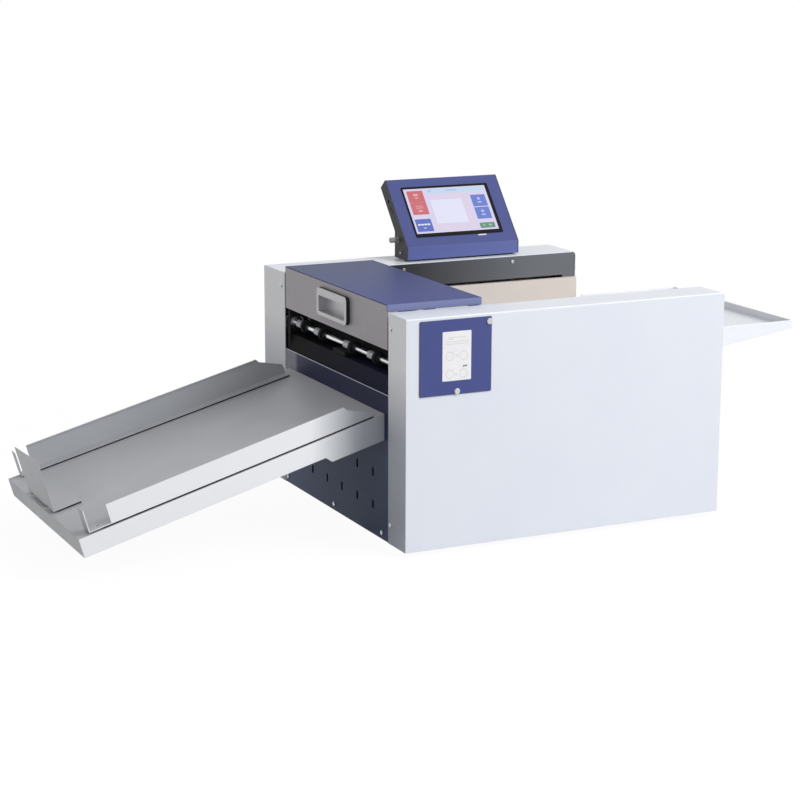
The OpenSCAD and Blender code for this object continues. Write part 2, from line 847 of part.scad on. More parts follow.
// One stepper motor on the far frame's inner side
module stepper(p) {
    s = motor_s / 2;
    difference() {
        union() {
            prism_y(far_in - motor_l, far_in) round_rect([p.x - s, p.y - s], [p.x + s, p.y + s], 4);
            rod_y(p.x, p.y, far_in, far_in + 1.6, 22);
        }
        rod_y(p.x, p.y, far_in - motor_l + 6, far_in + 3, motor_shaft_d + 2 * run_c);
        for (x = [-s, s], z = [-s, s])
            translate([p.x + x, far_in - motor_l - 1, p.y + z]) rotate([-90, 0, 0])
                cylinder(r = 7, h = motor_l - 4);
    }
}

// Motors for the feed shaft, the transport rollers and the camshaft
module stepper_motors() {
    color("dimgray")
        for (m = [feed_motor, move_motor, cam_motor]) stepper(m);
}

// Toothed belts between motors and shafts
module drive_belts() {
    color("black") {
        belt(feed_motor, [feed_shaft_x, feed_shaft_z], pulley_r, pulley_r, belt_y1);
        belt([in_x, low_z], [out_x, low_z], pulley_r, pulley_r, belt_y1);
        belt(move_motor, [out_x, low_z], pulley_r, pulley_r, belt_y2);
        belt(cam_motor, [cr_x, cam_z], pulley_r, cam_pulley_r, belt_y3);
    }
}

// Boxed power supply with its terminal strip
psu_l = 200;
psu_x = rx - 50 - psu_l;
psu_y = near_in + 30;
module power_supply() {
    color("silver") {
        difference() {
            slab([psu_x, psu_y, floor_z], [psu_x + psu_l, psu_y + 98, floor_z + 42]);
            slab([psu_x + psu_l - 16, psu_y + 3, floor_z + 16], [psu_x + psu_l + 1, psu_y + 95, floor_z + 43]);
            for (k = [0 : 8]) slab([psu_x + 20 + 17 * k, psu_y + 15, floor_z + 40],
                                   [psu_x + 26 + 17 * k, psu_y + 83, floor_z + 43]);
        }
        for (k = [0 : 7])
            slab([psu_x + psu_l - 14, psu_y + 8 + 11 * k, floor_z + 16],
                 [psu_x + psu_l - 3, psu_y + 16 + 11 * k, floor_z + 26]);
    }
}

// Control board on four standoffs, with its drivers and plugs
board_l = 160;
board_x = rx - 90 - board_l;
board_y = far_in - 170;
module control_board() {
    w = board_l;
    d = 90;
    z = floor_z + 12;
    color("darkgreen") {
        slab([board_x, board_y, z], [board_x + w, board_y + d, z + 1.6]);
        for (x = [board_x + 5, board_x + w - 5], y = [board_y + 5, board_y + d - 5])
            translate([x, y, floor_z]) cylinder(d = 6, h = 12);
        for (k = [0 : 3]) slab([board_x + 14 + 36 * k, board_y + 30, z + 1.6],
                               [board_x + 34 + 36 * k, board_y + 54, z + 14]);
        for (k = [0 : 6]) slab([board_x + 12 + 20 * k, board_y + 2, z + 1.6],
                               [board_x + 26 + 20 * k, board_y + 10, z + 12]);
    }
}

// Mains inlet in the rear panel
module mains_inlet() {
    x0 = rear_x0 + sheet_t;
    color("black")
        difference() {
            union() {
                slab([rear_x0 - 20, inlet_y - 14, inlet_z - 10.5], [x0, inlet_y + 14, inlet_z + 10.5]);
                slab([x0, inlet_y - 25, inlet_z - 12], [x0 + 2, inlet_y + 25, inlet_z + 12]);
            }
            slab([rear_x0 - 14, inlet_y - 12, inlet_z - 8], [x0 + 3, inlet_y + 12, inlet_z + 8]);
            for (s = [-20, 20]) rod_x(inlet_y + s, inlet_z, x0 - 1, x0 + 3, 3.4);
        }
    color("silver")
        for (p = [[-7, -1.5], [0, 2.5], [7, -1.5]])
            slab([rear_x0 - 14, inlet_y + p.x - 1, inlet_z + p.y - 2], [x0 - 2, inlet_y + p.x + 1, inlet_z + p.y + 2]);
}

// Frame of the power switch in the rear panel
module switch_housing() {
    x0 = rear_x0 + sheet_t;
    color("black")
        difference() {
            union() {
                slab([rear_x0 - 16, switch_y - 6.5, inlet_z - 10], [x0, switch_y + 6.5, inlet_z + 10]);
                slab([x0, switch_y - 8, inlet_z - 12], [x0 + 2, switch_y + 8, inlet_z + 12]);
            }
            slab([rear_x0 - 10, switch_y - 5, inlet_z - 9], [x0 + 3, switch_y + 5, inlet_z + 9]);
            rod_y(x0 - rocker_in, inlet_z, switch_y - 6, switch_y + 6, rocker_pin_d + 2 * run_c);
        }
}

// Rocker of the power switch, tipped to its off side
module power_rocker() {
    x0 = rear_x0 + sheet_t;
    color("black") {
        prism_y(switch_y - 4.6, switch_y + 4.6)
            translate([x0 - rocker_in, inlet_z]) rotate(rocker_tilt)
                polygon([[-1.5, -3], [2.5, -7.4], [6.8, -7.4], [6.2, 0], [6.8, 7.4], [2.5, 7.4], [-1.5, 3]]);
        rod_y(x0 - rocker_in, inlet_z, switch_y - 5.8, switch_y + 5.8, rocker_pin_d);
    }
}

// Fixed bracket inside the console's foot
module console_bracket() {
    t = 2;
    x0 = cx0 + side_t + ear_in;
    x1 = cx1 - side_t - ear_in;
    color("gray")
        difference() {
            union() {
                slab([x0, pivot_y - 8, top_z], [x1, lock_y + 5, top_z + t]);
                for (x = [x0, x1 - t])
                    prism_x(x, x + t)
                        union() {
                            translate([pivot_y - 8, top_z]) square([lock_y + 5 - pivot_y + 8, pivot_z - top_z + 6]);
                            translate([lock_y - 5, pivot_z]) square([10, lock_z - pivot_z]);
                            translate([lock_y, lock_z]) circle(5);
                        }
            }
            rod_x(pivot_y, pivot_z, x0 - 1, x1 + 1, 5);
            rod_x(lock_y, lock_z, x0 - 1, x1 + 1, 5);
            translate([cx0 + con_w / 2, cy0 + con_foot / 2, top_z - 1]) cylinder(d = 14, h = 5);
        }
    color("silver")
        for (e = [[cx0 - 2, x0 + t + 1], [x1 - t - 1, cx1 + 2]])
            rod_x(pivot_y, pivot_z, e[0], e[1], 5);
}

// Blue upper sheet of the hood with its side lips and hinge ears
module hood_top() {
    z1 = hood_top_z;
    color("darkslateblue") {
        slab([fx, hood_y0, z1 - sheet_t], [fx + hood_l, hood_y1, z1]);
        for (y = [hood_y0, hood_y1 - sheet_t])
            slab([fx, y, top_z], [fx + hood_l, y + sheet_t, z1 - sheet_t]);
        slab([fx + hood_l - sheet_t, hood_y0 + sheet_t, top_z + 2], [fx + hood_l, hood_y1 - sheet_t, z1 - sheet_t]);
        for (y = [near_in + ear_gap, far_in - ear_gap - ear_t])
            difference() {
                prism_y(y, y + ear_t)
                    union() {
                        translate([hinge_x - 9, hinge_z]) square([18, z1 - sheet_t - hinge_z]);
                        translate([hinge_x, hinge_z]) circle(9);
                    }
                rod_y(hinge_x, hinge_z, y - 1, y + ear_t + 1, hinge_pin_d + 2 * run_c);
            }
    }
}

// Grey hammered front panel of the hood, with the opening for the handle
hh_y = mid_y - 3.5;
hh_z = foot_h + 325;
handle_r = 7;
module hood_front() {
    color("gray")
        difference() {
            union() {
                slab([fx, hood_y0, mouth_top_z], [fx + sheet_t, hood_y1, top_z]);
                slab([fx, hood_y0 + sheet_t, top_z], [fx + sheet_t, hood_y1 - sheet_t, hood_top_z - sheet_t]);
                slab([fx + sheet_t, near_in + flange_in, mouth_top_z],
                     [fx + 8, far_in - flange_in, mouth_top_z + sheet_t]);
            }
            prism_x(fx - 1, fx + sheet_t + 1)
                round_rect([hh_y - handle_w / 2 + 4, hh_z - handle_h / 2 + 4],
                           [hh_y + handle_w / 2 - 4, hh_z + handle_h / 2 - 4], handle_r - 2);
        }
}

// Recessed pull: a proud frame with a finger pocket behind it
module hood_handle() {
    wall = 2;
    y0 = hh_y - handle_w / 2;
    y1 = hh_y + handle_w / 2;
    z0 = hh_z - handle_h / 2;
    z1 = hh_z + handle_h / 2;
    hole = [[y0 + 7, z0 + 6], [y1 - 7, z1 - 12]];
    color("silver")
        difference() {
            union() {
                prism_x(fx - handle_proud, fx) round_rect([y0, z0], [y1, z1], handle_r);
                prism_x(fx, fx + handle_depth)
                    round_rect([y0 + 4.3, z0 + 4.3], [y1 - 4.3, z1 - 4.3], handle_r - 2.3);
            }
            prism_x(fx - handle_proud - 1, fx + handle_depth - wall) round_rect(hole[0], hole[1], 3);
            prism_x(fx - handle_proud + wall + 1, fx + handle_depth - wall)
                round_rect(hole[0], [hole[1].x, hole[1].y + 5.5], 3);
        }
}

// Chrome shaft of the feed wheels with its belt pulley
module feed_shaft() {
    color("silver") {
        rod_y(feed_shaft_x, feed_shaft_z, iny - shaft_end, belt_y1 + pulley_w + shaft_end, feed_shaft_d);
        pulley(feed_shaft_x, feed_shaft_z, pulley_r, belt_y1, feed_shaft_d);
    }
}

// Pale hubs beside the feed wheels
module feed_hubs() {
    color("gainsboro")
        for (y = feed_wheel_ys)
            difference() {
                union() {
                    rod_y(feed_shaft_x, feed_shaft_z, y + wheel_w / 2, y + wheel_w / 2 + hub_l, hub_d);
                    rod_y(feed_shaft_x, feed_shaft_z, y - wheel_w / 2, y + wheel_w / 2, hub_d);
                }
                rod_y(feed_shaft_x, feed_shaft_z, y - wheel_w, y + hub_l + wheel_w, feed_shaft_d);
            }
}

// Rubber tyres of the feed wheels
module feed_wheels() {
    color("black")
        for (y = feed_wheel_ys)
            difference() {
                rod_y(feed_shaft_x, feed_shaft_z, y - wheel_w / 2, y + wheel_w / 2, 2 * feed_wheel_r);
                rod_y(feed_shaft_x, feed_shaft_z, y - wheel_w, y + wheel_w, hub_d);
                for (k = [0 : 23])
                    translate([feed_shaft_x, y - wheel_w, feed_shaft_z]) rotate([0, 15 * k, 0])
                        translate([feed_wheel_r - 0.6, 0, -0.5]) cube([2, 2 * wheel_w, 1]);
            }
}

// A motor's own shaft and pulley
module motor_pulley(p, y) {
    rod_y(p.x, p.y, far_in - motor_l + 7, y + pulley_w + 1, motor_shaft_d);
    pulley(p.x, p.y, pulley_r, y, motor_shaft_d);
}

// Shaft and pulley of the feed motor
module feed_motor_pulley() {
    color("silver") motor_pulley(feed_motor, belt_y1);
}

// Shaft and pulley of the transport motor
module transport_motor_pulley() {
    color("silver") motor_pulley(move_motor, belt_y2);
}

// Shaft and pulley of the camshaft's motor
module cam_motor_pulley() {
    color("silver") motor_pulley(cam_motor, belt_y3);
}

// A transport roller: a rubber-covered barrel between two journals
module roller(x, z, r, y_far) {
    side = 3;
    rod_y(x, z, gear_y - 2, y_far, journal_d);
    rod_y(x, z, near_in + side, far_in - side, 2 * r);
}

// Driven lower infeed roller
module lower_infeed_roller() {
    color("dimgray") roller(in_x, low_z, roller_r, belt_y1 + pulley_w + shaft_end);
}

// Gear and pulley on the lower infeed roller
module lower_infeed_gear() {
    color("goldenrod") {
        gear(in_x, low_z, gear_y, 0, journal_d);
        pulley(in_x, low_z, pulley_r, belt_y1, journal_d);
    }
}

// Upper infeed roller with its gear
module upper_infeed_roller() {
    color("dimgray") {
        roller(in_x, up_z, roller_r, ify + 2);
        gear(in_x, up_z, gear_y, 180 / gear_z, journal_d);
    }
}

// Driven lower outfeed roller, grooved under the perforating wheels
module lower_outfeed_roller() {
    color("dimgray")
        difference() {
            roller(out_x, low_z, roller_r, belt_y2 + pulley_w + shaft_end);
            for (y = perf_ys)
                difference() {
                    rod_y(out_x, low_z, y - groove_w / 2, y + groove_w / 2, 2 * roller_r + 2);
                    rod_y(out_x, low_z, y - groove_w, y + groove_w, 2 * (roller_r - groove_d));
                }
        }
}

// Gear and two pulleys on the lower outfeed roller
module lower_outfeed_gear() {
    color("goldenrod") {
        gear(out_x, low_z, gear_y, 0, journal_d);
        pulley(out_x, low_z, pulley_r, belt_y1, journal_d);
        pulley(out_x, low_z, pulley_r, belt_y2, journal_d);
    }
}

// Upper outfeed shaft with its pressure sleeves and gear
module perforating_shaft() {
    side = 3;
    room = 9;
    edges = concat([near_in + side], [for (y = perf_ys) each [y - room, y + room]], [far_in - side]);
    color("dimgray") {
        rod_y(out_x, up_z, gear_y - 2, ify + 2, journal_d);
        for (k = [0 : 2]) rod_y(out_x, up_z, edges[2 * k], edges[2 * k + 1], 2 * roller_r);
        gear(out_x, up_z, gear_y, 180 / gear_z, journal_d);
    }
}

// Toothed perforating wheels with their clamping hubs
module perforating_wheels() {
    teeth = 36;
    t = 1;
    color("silver")
        for (y = perf_ys)
            difference() {
                union() {
                    prism_y(y - t / 2, y + t / 2)
                        translate([out_x, up_z])
                            polygon([for (k = [0 : 2 * teeth - 1])
                                (k % 2 == 0 ? perf_r : perf_r - 1) * [cos(180 / teeth * k), sin(180 / teeth * k)]]);
                    rod_y(out_x, up_z, y - 6, y + 6, journal_d + 8);
                }
                rod_y(out_x, up_z, y - 8, y + 8, journal_d);
            }
}

// Camshaft with two eccentric cams and its pulley; the cams' high sides point up at rest
module cam_shaft() {
    color("silver") {
        rod_y(cr_x, cam_z, iny - shaft_end, belt_y3 + pulley_w + shaft_end, cam_shaft_d);
        for (y = [cam_y0, cam_y1]) rod_y(cr_x, cam_z + cam_ecc, y, y + cam_w, 2 * cam_r);
        pulley(cr_x, cam_z, cam_pulley_r, belt_y3, cam_shaft_d);
    }
}

// Sliding beam that carries the blade, with a pad under each cam
module blade_beam() {
    z1 = pad_z - 14;
    color("steelblue") {
        difference() {
            slab([cr_x - beam_t / 2, beam_y0, beam_low_z], [cr_x + beam_t / 2, beam_y1, z1]);
            slab([cr_x - blade_t / 2, beam_y0 - 1, beam_low_z - 1], [cr_x + blade_t / 2, beam_y1 + 1, beam_low_z + 12]);
        }
        for (y = [beam_y0 - tongue_t, beam_y1])
            slab([cr_x - 5, y, beam_low_z], [cr_x + 5, y + tongue_t, z1]);
        for (y = [cam_y0, cam_y1])
            slab([cr_x - 7, y - 1, z1], [cr_x + 7, y + cam_w + 1, pad_z]);
    }
}

// Creasing blade with a rounded lower edge
module creasing_blade() {
    color("silver") {
        slab([cr_x - blade_t / 2, beam_y0, blade_low_z + blade_t / 2],
             [cr_x + blade_t / 2, beam_y1, beam_low_z + 12]);
        rod_y(cr_x, blade_low_z + blade_t / 2, beam_y0, beam_y1, blade_t);
    }
}

// A point of the console's side outline, a distance along the slope and behind it
function on_slope(along, behind) = [
    cy0 + along * sin(con_lean) + behind * cos(con_lean),
    knee_z + along * cos(con_lean) - behind * sin(con_lean)
];

// The corner where the back of the foot meets the back of the slope, inset by a wall
function back_corner(w) = on_slope((con_foot - w - (con_t - w) * cos(con_lean)) / sin(con_lean), con_t - w);

// Side outline of the console in Y and Z
module console_line() {
    polygon([
        [cy0, cz0], [cy0, knee_z], on_slope(con_slope_l, 0), on_slope(con_slope_l, con_t), back_corner(0),
        [cy0 + con_foot, cz0]
    ]);
}

// Blue folded front sheet of the console, with the display's opening
module console_front() {
    ease = 0.6;
    color("slateblue")
        difference() {
            prism_x(cx0 + side_t, cx1 - side_t)
                polygon([
                    [cy0, cz0], [cy0, knee_z], on_slope(con_slope_l, 0), on_slope(con_slope_l, side_t),
                    [cy0 + side_t, knee_z - side_t * tan(con_lean / 2)], [cy0 + side_t, cz0]
                ]);
            on_display() translate(screen_off + [-screen_w / 2 - 2 - ease, -screen_h / 2 - 2 - ease, -3])
                cube([screen_w + 4 + 2 * ease, screen_h + 4 + 2 * ease, 6]);
        }
}

// Puts its children on the sloping front: X along the console, Y up the slope, Z outwards
disp_x = cx0 + con_w / 2;
disp_along = con_slope_l / 2 + 0.5;
screen_off = [-1.8, 1.2, 0];
module on_display() {
    p = on_slope(disp_along, 0);
    translate([disp_x, p.x, p.y]) rotate([90 - con_lean, 0, 0]) children();
}

// Grey side plates, top edge and back of the console
module console_housing() {
    past = 5;
    color("dimgray")
        difference() {
            prism_x(cx0, cx1) console_line();
            prism_x(cx0 + side_t, cx1 - side_t)
                polygon([
                    [cy0 - past, cz0 - past], [cy0 - past, knee_z], on_slope(con_slope_l + past, -past),
                    on_slope(con_slope_l + past, side_t), on_slope(con_slope_l - side_t, side_t),
                    on_slope(con_slope_l - side_t, con_t - side_t), back_corner(side_t),
                    [cy0 + con_foot - side_t, cz0 - past]
                ]);
            rod_x(pivot_y, pivot_z, cx0 - 1, cx1 + 1, 5 + 2 * run_c);
            for (x = [cx0 - 1, cx1 - side_t - 1]) prism_x(x, x + side_t + 2) lock_slot();
            prism_x(cx0 - 1, cx0 + side_t + 1) {
                translate(on_slope(98, 11)) circle(3);
                translate(on_slope(80, 11)) rotate(90 - con_lean) square([14, 3], center = true);
            }
        }
}

// Slot for the locking screws, square to the line from the console's pivot
module lock_slot() {
    w = 5.9;
    swing = 8;
    r = norm([lock_y - pivot_y, lock_z - pivot_z]);
    run = r * sin(swing);
    translate([pivot_y, pivot_z]) rotate(atan2(lock_z - pivot_z, lock_y - pivot_y)) translate([r, 0]) {
        square([w, 2 * run], center = true);
        for (s = [-run, run]) translate([0, s]) circle(w / 2 - 0.01);
    }
}

// Black frame of the display
module display_frame() {
    color("black")
        on_display()
            difference() {
                union() {
                    linear_extrude(1.2) round_rect([-disp_w / 2, -disp_h / 2], [disp_w / 2, disp_h / 2], 2);
                    translate(screen_off + [-screen_w / 2 - 2, -screen_h / 2 - 2, -12])
                        cube([screen_w + 4, screen_h + 4, 12]);
                }
                translate(screen_off + [-screen_w / 2, -screen_h / 2, 0.2]) cube([screen_w, screen_h, 2]);
            }
}

// Glass of the touch screen
module display_glass() {
    color("lavender")
        on_display() translate(screen_off + [-screen_w / 2, -screen_h / 2, 0.2]) cube([screen_w, screen_h, 0.8]);
}

// Cross-head screws in the console's back and the plug in its port
module console_screws() {
    color("silver")
        for (x = [cx0 + 12, cx1 - 12], s = [40, 115]) {
            p = on_slope(s, con_t);
            translate([x, p.x, p.y]) rotate([-90 - con_lean, 0, 0]) screw_head(6, 1.6);
        }
}

// Hand screw that locks the console's tilt
module tilt_thumbscrew() {
    x0 = cx0;
    washer = 1.2;
    color("silver")
        union() {
            rod_x(lock_y, lock_z, x0 - washer - 14, x0 + side_t + ear_in + 5, 5 - 2 * run_c);
            rod_x(lock_y, lock_z, x0 - washer, x0 - 0.3, 10);
            prism_x(x0 - washer - 14, x0 - washer - 4)
                translate([lock_y, lock_z])
                    polygon([for (k = [0 : 35]) (k % 2 == 0 ? 4.6 : 4.1) * [cos(10 * k), sin(10 * k)]]);
        }
}

// Near side guide: a flat strip, an upright wall and an end tab
module near_guide() {
    y0 = tray_y0 + near_guide_in;
    t = guide_t;
    color("silver")
        on_tray() translate([0, 0, guide_lift])
            difference() {
                union() {
                    slab([-guide_tab_s, y0, 0], [-guide_root_s, y0 + guide_base_w, t]);
                    prism_y(y0, y0 + t) polygon(guide_side(near_wall_s, near_guide_h));
                    slab([-guide_tab_s, y0, 0], [-guide_tab_s + t, y0 + guide_base_w, near_tab_h]);
                }
                translate([-guide_tab_s + 16, y0 + 12, -1]) cylinder(d = 5, h = t + 2);
            }
    color("black")
        on_tray() translate([0, 0, lay_gap])
            slab([-guide_tab_s + 22, y0 + 0.4, 0], [-guide_root_s - 1, y0 + guide_base_w - 2, magnet_t]);
}

// Far side guide, turned a little as it lies on the tray
module far_guide() {
    t = guide_t;
    y1 = tray_y1 - far_guide_in;
    module turned_in(up) {
        on_tray() translate([-guide_root_s, y1, up]) rotate(-far_guide_a) translate([guide_root_s, 0, 0])
            children();
    }
    color("silver")
        turned_in(guide_lift)
            difference() {
                union() {
                    slab([-guide_tab_s, -far_base_w, 0], [-guide_root_s, 0, t]);
                    prism_y(-t, 0) polygon(guide_side(far_wall_s, far_guide_h));
                    slab([-far_wall_s, -3, far_guide_h - t], [-guide_root_s - guide_cut_l, 0, far_guide_h]);
                    slab([-guide_tab_s, -far_base_w, 0], [-guide_tab_s + t, 0, far_tab_h]);
                }
                translate([-guide_tab_s + 16, -far_base_w / 2, -1]) cylinder(d = 5, h = t + 2);
            }
    color("black")
        turned_in(lay_gap) slab([-guide_tab_s + 22, -far_base_w + 0.4, 0], [-guide_root_s - 1, -2, magnet_t]);
}

// Tail stop: an upright plate on a flat tongue
module tail_stop() {
    t = guide_t;
    color("silver")
        on_tray() translate([0, 0, guide_lift])
            difference() {
                union() {
                    prism_x(-tail_s, -tail_s + t)
                        polygon([[tail_y0, 0], [tail_y0, tail_near_h], [tail_y0 + tail_w, tail_far_h],
                                 [tail_y0 + tail_w, 0]]);
                    slab([-tail_s, tail_y0, 0], [-tail_s + tail_tongue, tail_y0 + tail_w, t]);
                }
                for (y = [tail_y0 + 33, tail_y0 + tail_w - 16])
                    slab([-tail_s - 1, y - 5, -1], [-tail_s + t + 3, y + 5, 3]);
            }
    color("black")
        on_tray() translate([0, 0, lay_gap])
            slab([-tail_s + 6, tail_y0 + 0.4, 0], [-tail_s + tail_tongue - 1, tail_y0 + tail_w - 2, magnet_t]);
}

base_plate();
rubber_feet();
near_side_frame();
far_side_frame();
tie_bars();
near_cover();
far_cover();
inner_panels();
front_panel();
infeed_ramp();
paper_guides();
rear_panel();
delivery_deck();
exit_tray();
access_panel();
instruction_plate();
body_screws();
feed_tray();
tray_brackets();
separator_pad();
anvil_bar();
blade_guides();
shaft_bearings();
hood_hinge_pins();
stepper_motors();
drive_belts();
power_supply();
control_board();
mains_inlet();
switch_housing();
console_bracket();
hood_top();
hood_front();
hood_handle();
feed_shaft();
feed_hubs();
feed_wheels();
feed_motor_pulley();
lower_infeed_roller();
lower_infeed_gear();
upper_infeed_roller();
lower_outfeed_roller();
lower_outfeed_gear();
perforating_shaft();
perforating_wheels();
transport_motor_pulley();
cam_shaft();
cam_motor_pulley();
blade_beam();
creasing_blade();
console_front();
console_housing();
display_frame();
display_glass();
console_screws();
tilt_thumbscrew();
near_guide();
far_guide();
tail_stop();
power_rocker();
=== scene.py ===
import json
import math
import bpy
from mathutils import Matrix, Vector

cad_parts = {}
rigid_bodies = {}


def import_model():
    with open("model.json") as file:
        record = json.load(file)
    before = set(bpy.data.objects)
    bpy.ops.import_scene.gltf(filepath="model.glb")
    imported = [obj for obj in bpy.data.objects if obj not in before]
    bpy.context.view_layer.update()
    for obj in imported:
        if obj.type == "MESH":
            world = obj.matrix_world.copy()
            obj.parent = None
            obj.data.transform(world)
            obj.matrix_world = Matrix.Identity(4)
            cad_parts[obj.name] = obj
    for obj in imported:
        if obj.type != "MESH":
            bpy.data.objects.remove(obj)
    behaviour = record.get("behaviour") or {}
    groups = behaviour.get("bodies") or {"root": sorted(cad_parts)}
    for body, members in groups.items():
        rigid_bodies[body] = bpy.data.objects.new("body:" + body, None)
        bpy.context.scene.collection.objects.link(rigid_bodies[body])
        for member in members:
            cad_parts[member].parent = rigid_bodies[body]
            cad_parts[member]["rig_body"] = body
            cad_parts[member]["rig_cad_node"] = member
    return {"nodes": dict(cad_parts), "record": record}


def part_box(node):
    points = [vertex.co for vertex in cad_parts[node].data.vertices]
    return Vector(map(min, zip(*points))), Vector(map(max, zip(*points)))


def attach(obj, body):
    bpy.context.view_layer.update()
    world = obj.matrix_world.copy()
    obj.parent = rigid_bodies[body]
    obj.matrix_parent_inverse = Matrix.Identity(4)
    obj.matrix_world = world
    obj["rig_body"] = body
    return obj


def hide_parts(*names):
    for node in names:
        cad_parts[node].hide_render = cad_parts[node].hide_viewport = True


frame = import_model()
nodes = frame["nodes"]
slotOf = {part["node"]: part["material_slot"] for part in frame["record"]["subparts"]}
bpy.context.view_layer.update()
mm = 0.001
print("frame loaded:", len(nodes), "nodes")

# The body's footprint, which the camera and several pieces are placed by
nearCoverLow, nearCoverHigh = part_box("near_cover")
farCoverLow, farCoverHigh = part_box("far_cover")
bodyFront, bodyRear = nearCoverLow.x, nearCoverHigh.x
bodyCentre = Vector(((bodyFront + bodyRear) / 2, (nearCoverLow.y + farCoverHigh.y) / 2,
                     nearCoverLow.z))

# Camera: the photograph's place and angle, measured from the body's centre
shot = {
    "offset": Vector((-1.5537, -2.9115, 0.902)),
    "yaw": math.radians(25.73),
    "pitch": math.radians(12.89),
    "roll": math.radians(0.17),
    "lens": 94.88,
    "sensor": 36.0,
    "reach": 50,
}


def placeCamera(shot):
    forward = Vector((math.sin(shot["yaw"]) * math.cos(shot["pitch"]),
                      math.cos(shot["yaw"]) * math.cos(shot["pitch"]), -math.sin(shot["pitch"])))
    level = Vector((math.cos(shot["yaw"]), -math.sin(shot["yaw"]), 0))
    upright = level.cross(forward)
    right = math.cos(shot["roll"]) * level + math.sin(shot["roll"]) * upright
    up = -math.sin(shot["roll"]) * level + math.cos(shot["roll"]) * upright
    bpy.ops.object.camera_add()
    camera = bpy.context.object
    camera.name = "photoCamera"
    turn = Matrix((right, up, -forward)).transposed().to_4x4()
    camera.matrix_world = Matrix.Translation(bodyCentre + shot["offset"]) @ turn
    camera.data.lens = shot["lens"]
    camera.data.sensor_width = shot["sensor"]
    camera.data.clip_end = shot["reach"]
    bpy.context.scene.camera = camera


placeCamera(shot)
print("camera placed")


# Shader building: a Wire is one socket, and maths on wires adds Math nodes
class Wire:
    def __init__(self, look, socket):
        self.look = look
        self.socket = socket

    def __add__(self, other):
        return self.look.maths("ADD", self, other)

    def __mul__(self, other):
        return self.look.maths("MULTIPLY", self, other)

    def __lt__(self, other):
        return self.look.maths("LESS_THAN", self, other)

    __radd__ = __add__
    __rmul__ = __mul__


def shade(hexColour):
    # a colour as seen on screen, turned into Blender's linear values
    values = [int(hexColour[i:i + 2], 16) / 255 for i in (0, 2, 4)]
    linear = [v / 12.92 if v <= 0.04045 else ((v + 0.055) / 1.055) ** 2.4 for v in values]
    return (*linear, 1.0)


class Look:
    def __init__(self, name, colour, roughness=0.5, metallic=0.0, **sockets):
        self.material = bpy.data.materials.new(name)
        self.material.use_nodes = True
        self.tree = self.material.node_tree
        self.surface = self.tree.nodes["Principled BSDF"]
        self.output = self.tree.nodes["Material Output"]
        self.set(self.surface, {"Base Color": shade(colour), "Roughness": roughness,
                                "Metallic": metallic})
        self.finish(**sockets)
        self.material.diffuse_color = shade(colour)
        self.place = None

    def set(self, node, sockets):
        for key, value in sockets.items():
            if isinstance(value, Wire):
                self.tree.links.new(value.socket, node.inputs[key])
            else:
                node.inputs[key].default_value = value

    def add(self, kind, sockets, out=0, **settings):
        # one node: its settings first, then the values or wires of its sockets
        node = self.tree.nodes.new("ShaderNode" + kind)
        for key, value in settings.items():
            setattr(node, key, value)
        self.set(node, sockets)
        return Wire(self, node.outputs[out])

    def maths(self, operation, a, b):
        return self.add("Math", {0: a, 1: b}, operation=operation)

    def where(self):
        if self.place is None:
            self.place = self.add("TexCoord", {}, out="Object")
        return self.place

    def along(self, axis):
        return self.add("SeparateXYZ", {0: self.where()}, out=axis.upper())

    def noise(self, scale, detail=2.0, rough=0.5, stretch=(1, 1, 1)):
        place = self.add("Mapping", {"Vector": self.where(), "Scale": stretch})
        return self.add("TexNoise", {"Vector": place, "Scale": scale, "Detail": detail,
                                     "Roughness": rough})

    def cells(self, scale, feature="F1"):
        return self.add("TexVoronoi", {"Vector": self.where(), "Scale": scale}, feature=feature)

    def spread(self, wire, low, high, fromLow=0.3, fromHigh=0.7):
        return self.add("MapRange", {"Value": wire, "From Min": fromLow, "From Max": fromHigh,
                                     "To Min": low, "To Max": high})

    def blend(self, amount, first, second):
        # a colour between two others; the data type is set first, so sockets 6 and 7 are colours
        return self.add("Mix", {0: amount, 6: first, 7: second}, out=2, data_type="RGBA")

    def bump(self, height, distance, strength=1.0):
        return self.add("Bump", {"Height": height, "Distance": distance, "Strength": strength})

    def finish(self, **sockets):
        self.set(self.surface, {key.replace("_", " "): value for key, value in sockets.items()})
        return self.material


# Noise scales, in cycles a metre, and the depth of powder coat's sand in metres
scales = {
    "enamelClouds": 7, "wipes": 22, "coatClouds": 9, "sand": 1500, "hammerClouds": 14,
    "flake": 2600, "brushLines": 2200, "brushClouds": 30, "mouldClouds": 40, "pixels": 2600,
}
sandDepth = 0.00003


def enamel(name, colour, second, roughness, peel=0.00004, grain=650):
    # stove enamel on sheet steel: faint clouds of tone, hand-wiped gloss and orange peel
    look = Look(name, colour, roughness)
    clouds = look.noise(scales["enamelClouds"], 3)
    wiped = look.noise(scales["wipes"], 4, stretch=(1, 1, 0.35))
    surface = look.noise(grain, 2)
    tone = look.blend(look.spread(clouds, 0, 1), shade(colour), shade(second))
    return look.finish(Base_Color=tone,
                       Roughness=look.spread(wiped, roughness - 0.06, roughness + 0.06),
                       Normal=look.bump(surface, peel))


def texturedEnamel(name, colour, second, roughness, grain, depth, gloss=0.5):
    # powder coat with a fine sandy texture
    look = Look(name, colour, roughness, Specular_IOR_Level=gloss)
    sand = look.noise(grain, 4, 0.65)
    clouds = look.noise(scales["coatClouds"], 3)
    mixture = look.spread(clouds, 0, 0.7) + look.spread(sand, 0, 0.3)
    tone = look.blend(mixture, shade(colour), shade(second))
    return look.finish(Base_Color=tone,
                       Roughness=look.spread(sand, roughness - 0.08, roughness + 0.08),
                       Normal=look.bump(sand, depth))


